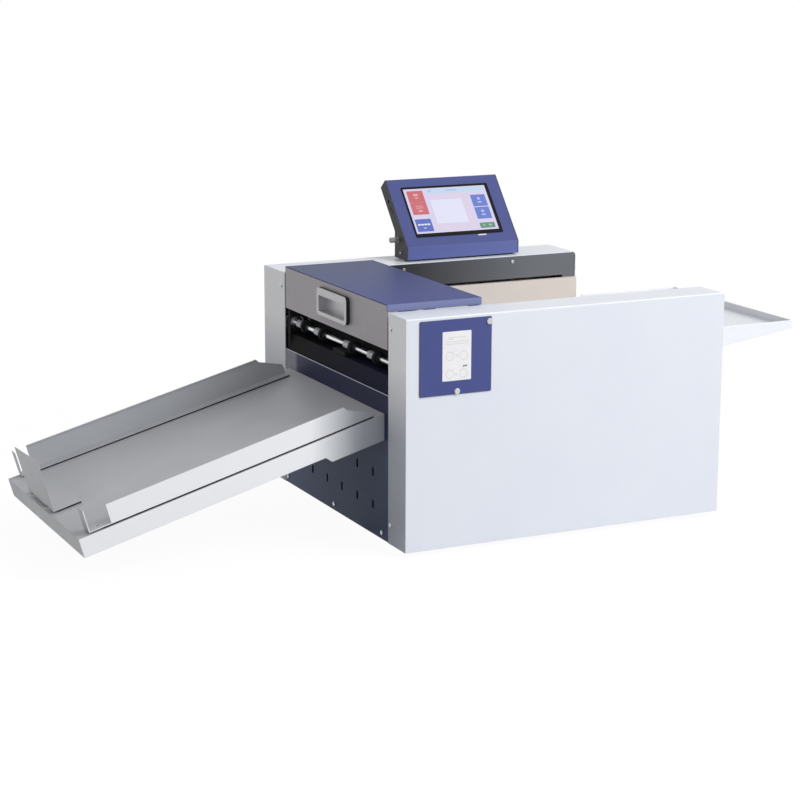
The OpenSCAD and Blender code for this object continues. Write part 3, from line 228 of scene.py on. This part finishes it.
def hammered(name, colour, second, roughness, cell, depth=0.0001):
    # hammered finish: shallow round dimples with darker edges and a metal flake
    look = Look(name, colour, roughness, 0.2)
    dimples = look.cells(cell, "SMOOTH_F1")
    flake = look.noise(scales["flake"], 2)
    clouds = look.noise(scales["hammerClouds"], 3)
    mixture = look.spread(dimples, 0, 0.6, 0.1, 0.8) + look.spread(flake, 0, 0.4) * clouds
    tone = look.blend(mixture, shade(colour), shade(second))
    return look.finish(Base_Color=tone,
                       Roughness=look.spread(flake, roughness - 0.08, roughness + 0.1),
                       Normal=look.bump(dimples, depth))


def brushed(name, colour, second, roughness, along, metallic=1.0, depth=0.00001):
    # brushed or ground metal: fine lines along one axis
    look = Look(name, colour, roughness, metallic)
    stretch = [0.03 if axis == along else 1.0 for axis in "xyz"]
    lines = look.noise(scales["brushLines"], 3, 0.6, stretch)
    clouds = look.noise(scales["brushClouds"], 2)
    mixture = look.spread(lines, 0, 0.6) + look.spread(clouds, 0, 0.4)
    tone = look.blend(mixture, shade(colour), shade(second))
    return look.finish(Base_Color=tone,
                       Roughness=look.spread(lines, roughness - 0.08, roughness + 0.12),
                       Normal=look.bump(lines, depth))


def moulded(name, colour, second, roughness, grain=1400, depth=0.00002, gloss=0.5):
    # moulded plastic or rubber with a fine spark texture
    look = Look(name, colour, roughness, Specular_IOR_Level=gloss)
    spark = look.noise(grain, 3)
    clouds = look.noise(scales["mouldClouds"], 2)
    tone = look.blend(look.spread(clouds, 0, 1), shade(colour), shade(second))
    return look.finish(Base_Color=tone,
                       Roughness=look.spread(spark, roughness - 0.07, roughness + 0.07),
                       Normal=look.bump(spark, depth))


def mouthDark(name, colour, second, edge, black="0b0b0d"):
    # enamel that turns black from the feed mouth's edge forward
    look = Look(name, colour, 0.45)
    clouds = look.noise(scales["coatClouds"], 3)
    sand = look.noise(scales["sand"], 3)
    tone = look.blend(look.spread(clouds, 0, 1), shade(colour), shade(second))
    pastMouthEdge = look.along("x") < edge
    return look.finish(Base_Color=look.blend(pastMouthEdge, tone, shade(black)),
                       Roughness=look.spread(sand, 0.42, 0.54) + pastMouthEdge * 0.3,
                       Normal=look.bump(sand, sandDepth))


def fading(name, colour, second, axis, start, end, roughness=0.5, gloss=0.25):
    # enamel that goes from one tone to another along an axis; every use of it paints light or shade
    # into the colour
    look = Look(name, colour, roughness, Specular_IOR_Level=gloss)
    sand = look.noise(scales["sand"], 3)
    along = look.spread(look.along(axis), 0, 1, start, end)
    tone = look.blend(along, shade(colour), shade(second))
    return look.finish(Base_Color=tone,
                       Roughness=look.spread(sand, roughness - 0.06, roughness + 0.06),
                       Normal=look.bump(sand, sandDepth))


# Lower front panel: its tones, and the metres over which one goes into the next; the dark tone
# above the tray is painted shade and the pale patch is a painted reflection
frontPaintAndLight = {
    "plain": "39465f", "above": "282c48", "patch": "9a9aa6", "below": "384763",
    "farBelow": "636e8e", "trayLine": (0.13, 0.2), "across": (-0.13, 0.13),
    "reflectionEdge": (0.118, 0.132), "reflectionShare": 0.75,
}


def panelNavy(name, paint):
    # navy enamel with painted light: painted shade above the tray with a painted reflection in the
    # far corner, and painted light below the tray that makes it lighter there
    look = Look(name, paint["plain"], 0.5, Specular_IOR_Level=0.15)
    sand = look.noise(scales["sand"], 3)
    high = look.spread(look.along("z"), 0, 1, *paint["trayLine"])
    farSide = look.spread(look.along("y"), 0, 1, *paint["across"])
    low = look.blend(farSide, shade(paint["below"]), shade(paint["farBelow"]))
    patch = look.spread(look.along("y"), 0, paint["reflectionShare"], *paint["reflectionEdge"]) * high
    upper = look.blend(patch, shade(paint["above"]), shade(paint["patch"]))
    return look.finish(Base_Color=look.blend(high, low, upper),
                       Roughness=look.spread(sand, 0.44, 0.56), Normal=look.bump(sand, sandDepth))


def lit(name, colour, glow=0.9):
    # a lit patch of the touch screen: fine pixel rows that glow a little
    look = Look(name, "0c0c10", 0.2)
    rows = look.noise(scales["pixels"], 1, stretch=(1, 0.2, 0.2))
    tone = look.blend(look.spread(rows, 0, 0.1), shade(colour), shade("ffffff"))
    return look.finish(Emission_Color=tone, Emission_Strength=glow)


# Finishes by material slot
looks = {
    "cover_white": enamel("coverWhite", "e2e6ef", "dfe3ed", roughness=0.36),
    "blue_paint": texturedEnamel("blueEnamel", "454f88", "4b538b", roughness=0.42, grain=1300,
                                 depth=0.00003, gloss=0.25),
    "hammered_grey": hammered("hammeredGrey", "aea9ad", "989397", roughness=0.45, cell=420),
    "dark_grey_paint": texturedEnamel("darkGreyTexture", "505255", "5a5c60", roughness=0.5,
                                      grain=1500, depth=0.00004),
    "tray_paint": enamel("trayGrey", "b4b6bb", "aeb1b5", roughness=0.42, peel=0.00003, grain=900),
    "deck_steel": brushed("sheetSteel", "a4a7ab", "8f9296", roughness=0.38, along="x"),
    "satin_metal": brushed("satinMetal", "c4c4c7", "b4b4b8", roughness=0.38, along="y",
                           metallic=0.6),
    "bright_steel": brushed("brightSteel", "dedfe2", "cecfd3", roughness=0.2, along="y"),
    "machined_steel": brushed("machinedSteel", "a8a9ab", "929396", roughness=0.3, along="y"),
    "grey_roller": moulded("greyRoller", "141416", "1c1c1e", roughness=0.75, grain=900, gloss=0.15),
    "black_rubber": moulded("blackRubber", "101113", "17181a", roughness=0.8, grain=800,
                            depth=0.00005, gloss=0.25),
    "hub_plastic": moulded("hubPlastic", "d4d5d8", "c4c6ca", roughness=0.4),
    "gear_plastic": moulded("gearPlastic", "d9cba0", "cdbe90", roughness=0.5),
    "bronze": brushed("bearingBronze", "b08d57", "97763f", roughness=0.36, along="z"),
    "black_plastic": moulded("blackPlastic", "111214", "17181b", roughness=0.42, gloss=0.35),
    "motor_black": moulded("motorBlack", "1a1b1d", "242528", roughness=0.4, grain=700),
    "board_green": moulded("boardGreen", "1c5a33", "174c2b", roughness=0.35),
    "white_plate": moulded("plateWhite", "f0f0f2", "eaeaee", roughness=0.3),
    "screen_glass": lit("screenField", "dcd6f4"),
}

# Finishes of single pieces and faces, where they differ from others of their slot
palePaint = enamel("palePaint", "eef0f5", "e9ecf2", roughness=0.36)
shadowNavy = moulded("navyEdge", "161a36", "1a1e3a", roughness=0.6, gloss=0.2)
mouthEdge = bodyFront + 24 * mm
frameBeige = mouthDark("frameEnamel", "e0d6ce", "dad0c8", mouthEdge)
# the infeed ramp: dark navy that goes near black towards the far side, a painted shade inside the
# mouth
rampShaded = fading("rampNavy", "050507", "1c1d36", "y", 0.1, -0.2, roughness=0.6, gloss=0.06)
frameBlack = moulded("frameBlack", "070709", "0b0b0e", roughness=0.5, gloss=0.12)
screwGrey = brushed("screwGrey", "9c9b96", "84837f", roughness=0.5, along="x", metallic=0.3)
headWhite = moulded("headWhite", "f0f0ee", "dcdcd8", roughness=0.35)
# a painted highlight for the far cover's rounded top fold
foldHighlight = moulded("foldHighlight", "fafafc", "f4f4f8", roughness=0.35)
# the covers' front strips: painted shade, darker towards the bottom
coverFront = fading("coverFront", "b0b5bf", "f8f9fb", "z", 0.16, 0.28, roughness=0.4)
# the hood top's blue with a painted reflection that turns it greyer towards the far side
hoodBlue = fading("hoodBlue", "424b70", "3a4680", "y", 0.12, -0.18, roughness=0.45, gloss=0.1)
# a painted highlight: a lighter copy of the hood's blue for its near lip
lipHighlight = fading("lipHighlight", "7279a2", "7880aa", "y", 0.12, -0.18, roughness=0.45, gloss=0.3)
# a painted reflection: a lighter copy of the console's blue for its upright lower band
bandHighlight = fading("bandHighlight", "5a64a0", "626ca8", "x", 0.1, 0.3, roughness=0.45, gloss=0.3)
# the tray's outer walls: a pale lit copy of the tray's grey, painted light, fading to grey near the
# body as a painted shadow of the near cover
wallLitShaded = fading("trayWall", "f0f2f6", "a3a7ae", "x", bodyFront - 115 * mm, bodyFront - 45 * mm,
                  roughness=0.4, gloss=0.4)
frontNavy = panelNavy("frontNavy", frontPaintAndLight)
# the inner panels: a painted shadow of the console, darker towards the front and lighter towards
# the rear
innerGrey = fading("innerGrey", "1d1e21", "6e7176", "x", 0.06, 0.33, roughness=0.5, gloss=0.2)
housingGrey = texturedEnamel("housingGrey", "434548", "4c4e51", roughness=0.5, grain=1500,
                             depth=0.00004, gloss=0.15)
# a painted highlight: the pale tone of the bead on the front panel's top fold
edgeHighlight = moulded("edgeHighlight", "c3c8d6", "b9bfce", roughness=0.35)
print("finishes made")


# Making and softening pieces; every width and reach is in mm
easing = {"merge": 0.002, "flat": math.radians(0.5), "sharp": math.radians(40),
          "smooth": math.radians(35), "steps": 2}
coverFold = {"radius": 1.8, "steps": 4, "shortest": 40, "reach": 0.02}


def only(*chosen):
    bpy.ops.object.select_all(action="DESELECT")
    for piece in chosen:
        piece.select_set(True)
    bpy.context.view_layer.objects.active = chosen[0]


def joined(parts, name):
    only(*parts)
    if len(parts) > 1:
        bpy.ops.object.join()
    parts[0].name = name
    return parts[0]


def applied(piece, kind, **settings):
    only(piece)
    modifier = piece.modifiers.new(kind.lower(), kind)
    for key, value in settings.items():
        setattr(modifier, key, value)
    bpy.ops.object.modifier_apply(modifier=modifier.name)


def camel(words):
    first, *rest = words.split("_")
    return first + "".join(word.capitalize() for word in rest)


def foldCover(piece):
    # rounds a sheet cover's folds: the long edges of its box, apart from those of its open bottom
    points = [v.co for v in piece.data.vertices]
    low = Vector([min(p[i] for p in points) for i in range(3)])
    high = Vector([max(p[i] for p in points) for i in range(3)])
    near = coverFold["reach"] * mm
    bpy.ops.mesh.select_all(action="DESELECT")
    bpy.ops.object.mode_set(mode="OBJECT")
    for edge in piece.data.edges:
        ends = [points[i] for i in edge.vertices]
        sides = [axis for axis in range(3) if all(
            abs(p[axis] - low[axis]) < near or abs(p[axis] - high[axis]) < near for p in ends)
            and abs(ends[0][axis] - ends[1][axis]) < near]
        bottom = all(p.z - low.z < near for p in ends)
        long = (ends[0] - ends[1]).length > coverFold["shortest"] * mm
        edge.select = len(sides) == 2 and long and not bottom
    bpy.ops.object.mode_set(mode="EDIT")
    bpy.ops.mesh.select_mode(type="EDGE")
    bpy.ops.mesh.bevel(offset=coverFold["radius"] * mm, segments=coverFold["steps"], affect="EDGES",
                       clamp_overlap=True)


def eased(name, edge, look=None, folded=False):
    # a node's own shape, merged and given real rounded edges, in place of its plain solid
    node = nodes[name]
    piece = node.copy()
    piece.data = node.data.copy()
    piece.name = camel(name)
    body = node["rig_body"]
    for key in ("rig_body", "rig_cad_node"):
        del piece[key]
    piece.parent = None
    bpy.context.scene.collection.objects.link(piece)
    only(piece)
    bpy.ops.object.mode_set(mode="EDIT")
    bpy.ops.mesh.select_all(action="SELECT")
    bpy.ops.mesh.remove_doubles(threshold=easing["merge"] * mm)
    bpy.ops.mesh.dissolve_limited(angle_limit=easing["flat"])
    if folded:
        foldCover(piece)
    bpy.ops.object.mode_set(mode="OBJECT")
    applied(piece, "BEVEL", width=edge * mm, segments=easing["steps"], limit_method="ANGLE",
            angle_limit=easing["sharp"], use_clamp_overlap=True, miter_outer="MITER_ARC")
    bpy.ops.object.shade_smooth_by_angle(angle=easing["smooth"])
    applied(piece, "WEIGHTED_NORMAL", mode="FACE_AREA", keep_sharp=True)
    piece.data.materials.clear()
    piece.data.materials.append(look or looks[slotOf[name]])
    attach(piece, body)
    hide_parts(name)
    return piece


def paint(piece, look, chosen):
    # gives a second finish to the faces whose centre and normal pass the test
    piece.data.materials.append(look)
    index = len(piece.data.materials) - 1
    for face in piece.data.polygons:
        if chosen(face.center, face.normal):
            face.material_index = index


# The nodes that get softened edges, and the edges' widths in mm
easedNodes = {
    "near_cover": 0.4, "far_cover": 0.4, "hood_top": 0.6, "hood_front": 0.5, "hood_handle": 1.6,
    "near_side_frame": 0.4, "far_side_frame": 0.4, "inner_panels": 0.3, "front_panel": 0.3,
    "infeed_ramp": 0.3, "rear_panel": 0.3, "delivery_deck": 0.3, "exit_tray": 0.6,
    "access_panel": 0.5, "instruction_plate": 0.1, "body_screws": 0.15, "feed_tray": 0.7,
    "near_guide": 0.35, "far_guide": 0.35, "tail_stop": 0.35, "console_front": 0.4,
    "console_housing": 0.5, "display_frame": 0.4, "tilt_thumbscrew": 0.2, "mains_inlet": 0.4,
    "switch_housing": 0.3, "power_rocker": 0.3, "feed_hubs": 0.5, "feed_shaft": 0.3,
    "console_screws": 0.12, "rubber_feet": 0.8,
}
foldedCovers = ("near_cover", "far_cover")
ownLook = {
    "near_side_frame": frameBeige, "far_side_frame": frameBeige, "exit_tray": palePaint,
    "infeed_ramp": rampShaded, "hood_top": hoodBlue, "front_panel": frontNavy,
    "inner_panels": innerGrey, "console_housing": housingGrey, "display_frame": frameBlack,
    "tilt_thumbscrew": screwGrey, "console_screws": headWhite,
    "upper_infeed_roller": looks["black_rubber"], "separator_pad": looks["black_rubber"],
}
pieces = {name: eased(name, edge, look=ownLook.get(name), folded=name in foldedCovers)
          for name, edge in easedNodes.items()}
print("softened pieces:", len(pieces))

# Second finishes on faces that look a given way: facing holds the least or most share of a
# normal along an axis, and pullRim and hidden are in mm
facing = {"square": 0.95, "flat": 0.9, "front": 0.75, "slope": 0.6, "wall": 0.6, "hub": 0.5,
          "turned": 0.3, "fold": 0.2}
pullRim = {"width": 2, "face": 2.4, "seat": 0.5}
hidden = {"behindFront": 3, "trayWall": 12}
consoleFacing = Vector((0, -0.77, 0.64))
pullLow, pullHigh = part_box("hood_handle")
trayLow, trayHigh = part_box("feed_tray")


def onShadedPullRim(c, n):
    # the pull's outer rim between its pale face and the hood, painted black as shade
    inset = min(c.y - pullLow.y, pullHigh.y - c.y, c.z - pullLow.z, pullHigh.z - c.z)
    between = pullLow.x + pullRim["face"] * mm < c.x < bodyFront + pullRim["seat"] * mm
    return between and abs(n.x) < facing["flat"] and inset < pullRim["width"] * mm


def onConsoleEdge(c, n):
    return n.dot(consoleFacing) < facing["slope"] and n.x < facing["slope"]


# painted shade: the pull's outer rim takes the black finish
paint(pieces["hood_handle"], looks["black_plastic"], onShadedPullRim)
paint(pieces["access_panel"], shadowNavy, lambda c, n: n.y > -facing["front"])
paint(pieces["console_front"], shadowNavy, onConsoleEdge)
# painted reflection on the console front's upright lower band
paint(pieces["console_front"], bandHighlight, lambda c, n: n.y < -facing["square"])
# painted highlight on the hood top's near lip
paint(pieces["hood_top"], lipHighlight, lambda c, n: n.y < -facing["flat"])
# painted highlight on the far cover's top fold
paint(pieces["far_cover"], foldHighlight, lambda c, n: n.y < -facing["fold"] and n.z > facing["fold"])
paint(pieces["feed_hubs"], looks["black_rubber"], lambda c, n: n.y < -facing["hub"])
# painted shadow in the gap beside the hood front: its faces behind the front take the black finish
paint(pieces["hood_front"], looks["black_plastic"],
      lambda c, n: n.x > -facing["turned"] and c.x > bodyFront + hidden["behindFront"] * mm)
# painted shade on the covers' front strips, darker towards the bottom
for name in foldedCovers:
    paint(pieces[name], coverFront, lambda c, n: n.x < -facing["square"])
# painted light and shadow on the tray's outer wall and the near guide's outer face
paint(pieces["feed_tray"], wallLitShaded,
      lambda c, n: n.y < -facing["wall"] and c.y < trayLow.y + hidden["trayWall"] * mm)
paint(pieces["near_guide"], wallLitShaded, lambda c, n: n.y < -facing["wall"])
# painted shade under the body screws' heads: their downward faces take the black finish
paint(pieces["body_screws"], looks["black_plastic"],
      lambda c, n: n.z < -facing["turned"] and c.y < farCoverHigh.y and c.x < bodyRear)


def paintStrips(name):
    # the smaller loose solid of each guide is the magnetic strip under it
    piece = pieces[name]
    mesh = piece.data
    group = list(range(len(mesh.vertices)))

    def root(i):
        while group[i] != i:
            group[i] = group[group[i]]
            i = group[i]
        return i

    for edge in mesh.edges:
        a, b = (root(i) for i in edge.vertices)
        group[a] = b
    roots = [root(v.index) for v in mesh.vertices]
    strip = min(set(roots), key=roots.count)
    mesh.materials.append(looks["black_rubber"])
    index = len(mesh.materials) - 1
    for face in mesh.polygons:
        if roots[face.vertices[0]] == strip:
            face.material_index = index


for name in ("near_guide", "far_guide", "tail_stop"):
    paintStrips(name)
print("second finishes painted")

# A pale bead along the front panel's top: a painted highlight of its fold, a thin bright line above
# the tray; sizes in mm
bead = {"radius": 0.8, "sides": 16, "endGaps": 1, "endRound": 0.3, "endSteps": 3}
panelLow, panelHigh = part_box("front_panel")
bpy.ops.object.select_all(action="DESELECT")
bpy.ops.mesh.primitive_cylinder_add(
    vertices=bead["sides"], radius=bead["radius"] * mm,
    depth=panelHigh.y - panelLow.y - bead["endGaps"] * mm, rotation=(math.pi / 2, 0, 0),
    location=((panelLow.x + panelHigh.x) / 2, (panelLow.y + panelHigh.y) / 2, panelHigh.z))
panelEdge = bpy.context.object
bpy.ops.object.transform_apply(location=True, rotation=True, scale=True)
applied(panelEdge, "BEVEL", width=bead["endRound"] * mm, segments=bead["endSteps"],
        limit_method="ANGLE", angle_limit=easing["sharp"])
bpy.ops.object.shade_smooth_by_angle(angle=easing["smooth"])
panelEdge.name = "panelEdge"
panelEdge.data.materials.append(edgeHighlight)
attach(panelEdge, nodes["front_panel"]["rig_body"])

# The solids that show as they are get their finish too
for name, node in nodes.items():
    if name not in easedNodes:
        node.data.materials.clear()
        node.data.materials.append(ownLook.get(name) or looks[slotOf[name]])
print("panel edge and plain nodes finished")


# Flat printed marks: rounded plates, proud of a face by a tenth of a millimetre or so
printing = {"facing": 0.6, "flat": 0.05, "cornerSteps": 5, "fullRound": 0.499}


def faceOf(name, towards):
    # the corner, across, down and normal of a node's largest face that looks the given way,
    # and the face's width and height
    mesh = nodes[name].data
    best = max(mesh.polygons,
               key=lambda f: f.area if f.normal.dot(towards) > printing["facing"] else 0)
    normal = best.normal.copy()
    across = Vector((1, 0, 0))
    down = across.cross(normal).normalized()
    if down.z > 0:
        down = -down
    on = [v.co for v in mesh.vertices
          if abs((v.co - best.center).dot(normal)) < printing["flat"] * mm]
    left = min(p.dot(across) for p in on)
    right = max(p.dot(across) for p in on)
    top = min(p.dot(down) for p in on)
    bottom = max(p.dot(down) for p in on)
    corner = across * left + down * top + normal * best.center.dot(normal)
    return corner, across, down, normal, right - left, bottom - top


def printMarks(name, face, marks, body, proud):
    # each mark: left, top, right and bottom as shares of the face, corner radius in mm, finish
    corner, across, down, normal, width, height = face
    turn = Matrix((across, -down, normal)).transposed().to_4x4()
    made = []
    for left, top, right, bottom, radius, look in marks:
        wide, high = (right - left) * width, (bottom - top) * height
        bpy.ops.object.select_all(action="DESELECT")
        bpy.ops.mesh.primitive_plane_add(size=1)
        mark = bpy.context.object
        mark.scale = (wide, high, 1)
        bpy.ops.object.transform_apply(location=False, rotation=False, scale=True)
        bpy.ops.object.mode_set(mode="EDIT")
        bpy.ops.mesh.select_all(action="SELECT")
        if radius:
            bpy.ops.mesh.bevel(offset=min(radius * mm, printing["fullRound"] * min(wide, high)),
                               segments=printing["cornerSteps"], affect="VERTICES")
            bpy.ops.mesh.select_all(action="SELECT")
        bpy.ops.mesh.extrude_region_move(TRANSFORM_OT_translate={"value": (0, 0, proud * mm)})
        bpy.ops.mesh.select_all(action="SELECT")
        bpy.ops.mesh.normals_make_consistent(inside=False)
        bpy.ops.object.mode_set(mode="OBJECT")
        centre = corner + across * (left + right) / 2 * width + down * (top + bottom) / 2 * height
        mark.matrix_world = Matrix.Translation(centre) @ turn
        bpy.ops.object.transform_apply(location=True, rotation=True, scale=True)
        mark.data.materials.append(look)
        made.append(mark)
    piece = joined(made, name)
    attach(piece, body)
    return piece


# Touch screen: tiles on the glass, a sheet on its middle tile, and wordless signs
tone = {
    "field": lit("screenPink", "e2d4ee"), "strip": lit("screenStrip", "c2dcf3"),
    "sheet": lit("screenSheet", "e8e8ff"), "red": lit("screenRed", "cf5a62"),
    "blue": lit("screenBlue", "5a74cf"), "deep": lit("screenDeepBlue", "4560c2"),
    "green": lit("screenGreen", "4f8a6a"), "white": lit("screenWhite", "f4f4ff"),
    "soft": lit("screenSoft", "a9bce8"), "rose": lit("screenRose", "e6aab4"),
    "sky": lit("screenSky", "b3c0f2"), "mint": lit("screenMint", "98bda8"),
}
screenTiles = [
    (0.270, 0.020, 0.975, 0.125, 0, tone["strip"]),
    (0.270, 0.140, 0.755, 0.965, 0, tone["field"]),
    (0.030, 0.045, 0.225, 0.312, 0.6, tone["red"]),
    (0.030, 0.314, 0.225, 0.580, 0.6, tone["red"]),
    (0.022, 0.680, 0.215, 0.960, 1.2, tone["deep"]),
    (0.785, 0.205, 0.965, 0.470, 1.2, tone["blue"]),
    (0.785, 0.488, 0.965, 0.755, 1.2, tone["blue"]),
    (0.785, 0.842, 0.968, 0.962, 1.2, tone["green"]),
]
screenSheet = [(0.285, 0.270, 0.665, 0.800, 0, tone["sheet"])]
screenSigns = [
    (0.100, 0.110, 0.160, 0.160, 3, tone["rose"]), (0.110, 0.190, 0.150, 0.218, 1, tone["rose"]),
    (0.085, 0.380, 0.175, 0.395, 1, tone["rose"]), (0.085, 0.425, 0.175, 0.440, 1, tone["rose"]),
    (0.105, 0.480, 0.155, 0.515, 1, tone["rose"]),
    (0.045, 0.785, 0.075, 0.820, 1, tone["white"]), (0.083, 0.785, 0.113, 0.820, 1, tone["white"]),
    (0.121, 0.785, 0.151, 0.820, 1, tone["white"]), (0.159, 0.785, 0.189, 0.820, 1, tone["white"]),
    (0.100, 0.870, 0.135, 0.895, 1, tone["sky"]),
    (0.857, 0.265, 0.893, 0.328, 4, tone["sky"]), (0.850, 0.360, 0.900, 0.392, 1, tone["sky"]),
    (0.857, 0.550, 0.893, 0.613, 4, tone["sky"]), (0.850, 0.645, 0.900, 0.677, 1, tone["sky"]),
    (0.815, 0.885, 0.855, 0.912, 1, tone["mint"]), (0.890, 0.875, 0.930, 0.922, 2, tone["mint"]),
    (0.290, 0.050, 0.330, 0.080, 1, tone["soft"]), (0.500, 0.055, 0.640, 0.080, 1, tone["soft"]),
]
screenProud = {"tiles": 0.06, "sheet": 0.1, "signs": 0.12}
glassFace = faceOf("display_glass", Vector((0, -1, 0.5)))
consoleBody = nodes["display_glass"]["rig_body"]
printMarks("screenTiles", glassFace, screenTiles, consoleBody, screenProud["tiles"])
printMarks("screenSheet", glassFace, screenSheet, consoleBody, screenProud["sheet"])
printMarks("screenSigns", glassFace, screenSigns, consoleBody, screenProud["signs"])

# Console marks in mm down and across its tilted plane: a hole, port and slot in its side, and
# the indicator light; their origins are in metres
consoleMarks = {
    "sideOrigin": (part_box("console_housing")[0].x, 0.2466, 0.4327),
    "side": [(-2.2, -17.5, 2.2, -12.5, 2.2, looks["black_plastic"]),
             (0.6, 1.5, 4.4, 12.5, 0.8, looks["black_plastic"]),
             (0.5, 46.5, 4.5, 55.0, 1.5, looks["black_plastic"])],
    "sideProud": 0.1,
    "lightOrigin": (0.2408, 0.1918, 0.3911),
    "light": [(0, 0.4, 15.4, 2.6, 0.8, lit("indicatorRose", "f6e2e8"))],
    "lightProud": 0.3,
}
consoleNormal = glassFace[3]
downConsole = consoleNormal.cross(Vector((1, 0, 0))).normalized()
if downConsole.z > 0:
    downConsole = -downConsole
sideFace = (Vector(consoleMarks["sideOrigin"]), consoleNormal, downConsole,
            Vector((-1, 0, 0)), mm, mm)
printMarks("consolePorts", sideFace, consoleMarks["side"], consoleBody,
           consoleMarks["sideProud"])
lightFace = (Vector(consoleMarks["lightOrigin"]), Vector((1, 0, 0)), downConsole,
             consoleNormal, mm, mm)
printMarks("indicatorLight", lightFace, consoleMarks["light"], consoleBody,
           consoleMarks["lightProud"])

# Instruction plate: plain rules and rings that say nothing
faint = moulded("plateGrey", "c3c1c4", "bbb9bd", roughness=0.4)
dark = moulded("plateBlack", "1d1d20", "232326", roughness=0.4)
plateMarks = [
    (0.10, 0.205, 0.92, 0.212, 0, faint), (0.10, 0.250, 0.92, 0.256, 0, faint),
    (0.20, 0.115, 0.80, 0.122, 0, faint), (0.20, 0.145, 0.36, 0.156, 0, faint),
    (0.72, 0.700, 0.775, 0.732, 0.6, dark), (0.795, 0.695, 0.850, 0.727, 0.6, dark),
    (0.49, 0.470, 0.515, 0.520, 0.4, faint), (0.46, 0.850, 0.490, 0.895, 0.4, faint),
]
plateProud = 0.05
ringShape = {"radius": 6.2, "line": 0.25, "flatness": 0.2, "steps": 40, "lineSteps": 6,
             "across": (0.26, 0.74), "down": (0.5, 0.86)}
plateFace = faceOf("instruction_plate", Vector((0, -1, 0)))
printMarks("plateRules", plateFace, plateMarks, nodes["instruction_plate"]["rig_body"],
           plateProud)


def plateRing(u, v):
    # a thin printed ring, placed by shares of the plate's width and height
    corner, across, down, normal, width, height = plateFace
    bpy.ops.object.select_all(action="DESELECT")
    bpy.ops.mesh.primitive_torus_add(
        major_segments=ringShape["steps"], minor_segments=ringShape["lineSteps"],
        major_radius=ringShape["radius"] * mm, minor_radius=ringShape["line"] * mm)
    ring = bpy.context.object
    ring.scale = (1, 1, ringShape["flatness"])
    bpy.ops.object.transform_apply(location=False, rotation=False, scale=True)
    turn = Matrix((across, -down, normal)).transposed().to_4x4()
    ring.matrix_world = Matrix.Translation(corner + across * u * width + down * v * height) @ turn
    bpy.ops.object.transform_apply(location=True, rotation=True, scale=True)
    ring.data.materials.append(faint)
    bpy.ops.object.shade_smooth()
    return ring


rings = [plateRing(u, v) for u in ringShape["across"] for v in ringShape["down"]]
joined(rings, "plateRings")
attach(rings[0], nodes["instruction_plate"]["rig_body"])
print("screen and plate drawn")


# Floor: white to the eye and in reflections, a plain diffuse floor to the light
floorShape = {"size": 30, "diffuse": 0.62, "seenDiffuse": 0.07, "seenGlow": 0.95,
              "fadeFrom": 1.3, "fadeTo": 2.4}
bpy.ops.object.select_all(action="DESELECT")
bpy.ops.mesh.primitive_plane_add(size=floorShape["size"], location=(0, 0, 0))
floor = bpy.context.object
floor.name = "floor"
floorLook = Look("floorWhite", "ffffff", 0.9)
rays = floorLook.tree.nodes.new("ShaderNodeLightPath")
seen = (Wire(floorLook, rays.outputs["Is Camera Ray"])
        + Wire(floorLook, rays.outputs["Is Glossy Ray"])
        + Wire(floorLook, rays.outputs["Is Transmission Ray"]))
away = floorLook.add("VectorMath", {0: floorLook.where()}, out="Value", operation="LENGTH")
far = floorLook.add("MapRange", {"Value": away, "From Min": floorShape["fadeFrom"],
                                 "From Max": floorShape["fadeTo"]},
                    interpolation_type="SMOOTHSTEP")
grey = floorShape["diffuse"]
plain = floorLook.add("BsdfDiffuse", {"Color": (grey, grey, grey, 1)})
grey = floorShape["seenDiffuse"]
shaded = floorLook.add("BsdfDiffuse", {"Color": (grey, grey, grey, 1)})
glow = floorLook.add("Emission", {"Color": (1, 1, 1, 1), "Strength": floorShape["seenGlow"]})
white = floorLook.add("Emission", {"Color": (1, 1, 1, 1), "Strength": 1.0})
close = floorLook.add("AddShader", {0: shaded, 1: glow})
looked = floorLook.add("MixShader", {0: far, 1: close, 2: white})
mixed = floorLook.add("MixShader", {0: seen, 1: plain, 2: looked})
floorLook.tree.links.new(mixed.socket, floorLook.output.inputs["Surface"])
floor.data.materials.append(floorLook.material)

# Studio air: soft light from all round, full white to the eye and in reflections
air = {"light": 0.5, "seen": 1.0}
world = bpy.data.worlds.new("studio")
bpy.context.scene.world = world
world.use_nodes = True
skyTree = world.node_tree
sky = skyTree.nodes["Background"]
sky.inputs["Color"].default_value = (1, 1, 1, 1)
skyRays = skyTree.nodes.new("ShaderNodeLightPath")
total = skyTree.nodes.new("ShaderNodeMath")
total.operation = "ADD"
skyTree.links.new(skyRays.outputs["Is Camera Ray"], total.inputs[0])
skyTree.links.new(skyRays.outputs["Is Glossy Ray"], total.inputs[1])
clear = skyTree.nodes.new("ShaderNodeMath")
clear.operation = "ADD"
clear.use_clamp = True
skyTree.links.new(total.outputs[0], clear.inputs[0])
skyTree.links.new(skyRays.outputs["Is Transmission Ray"], clear.inputs[1])
level = skyTree.nodes.new("ShaderNodeMapRange")
level.inputs["To Min"].default_value = air["light"]
level.inputs["To Max"].default_value = air["seen"]
skyTree.links.new(clear.outputs[0], level.inputs["Value"])
skyTree.links.new(level.outputs[0], sky.inputs["Strength"])

# Key lamp: a large soft square, high on the operator's side
keyLamp = {"from": (2.5, -3.3, 3.1), "aim": (0, 0, 0.2), "size": 2.6, "power": 178}
spot = Vector(keyLamp["from"])
bpy.ops.object.light_add(type="AREA", location=spot)
light = bpy.context.object
light.name = "keyLamp"
light.data.shape = "SQUARE"
light.data.size = keyLamp["size"]
light.data.energy = keyLamp["power"]
light.rotation_euler = (Vector(keyLamp["aim"]) - spot).to_track_quat("-Z", "Y").to_euler()
print("floor, air and lamp placed")

bpy.context.scene.view_settings.view_transform = "Standard"
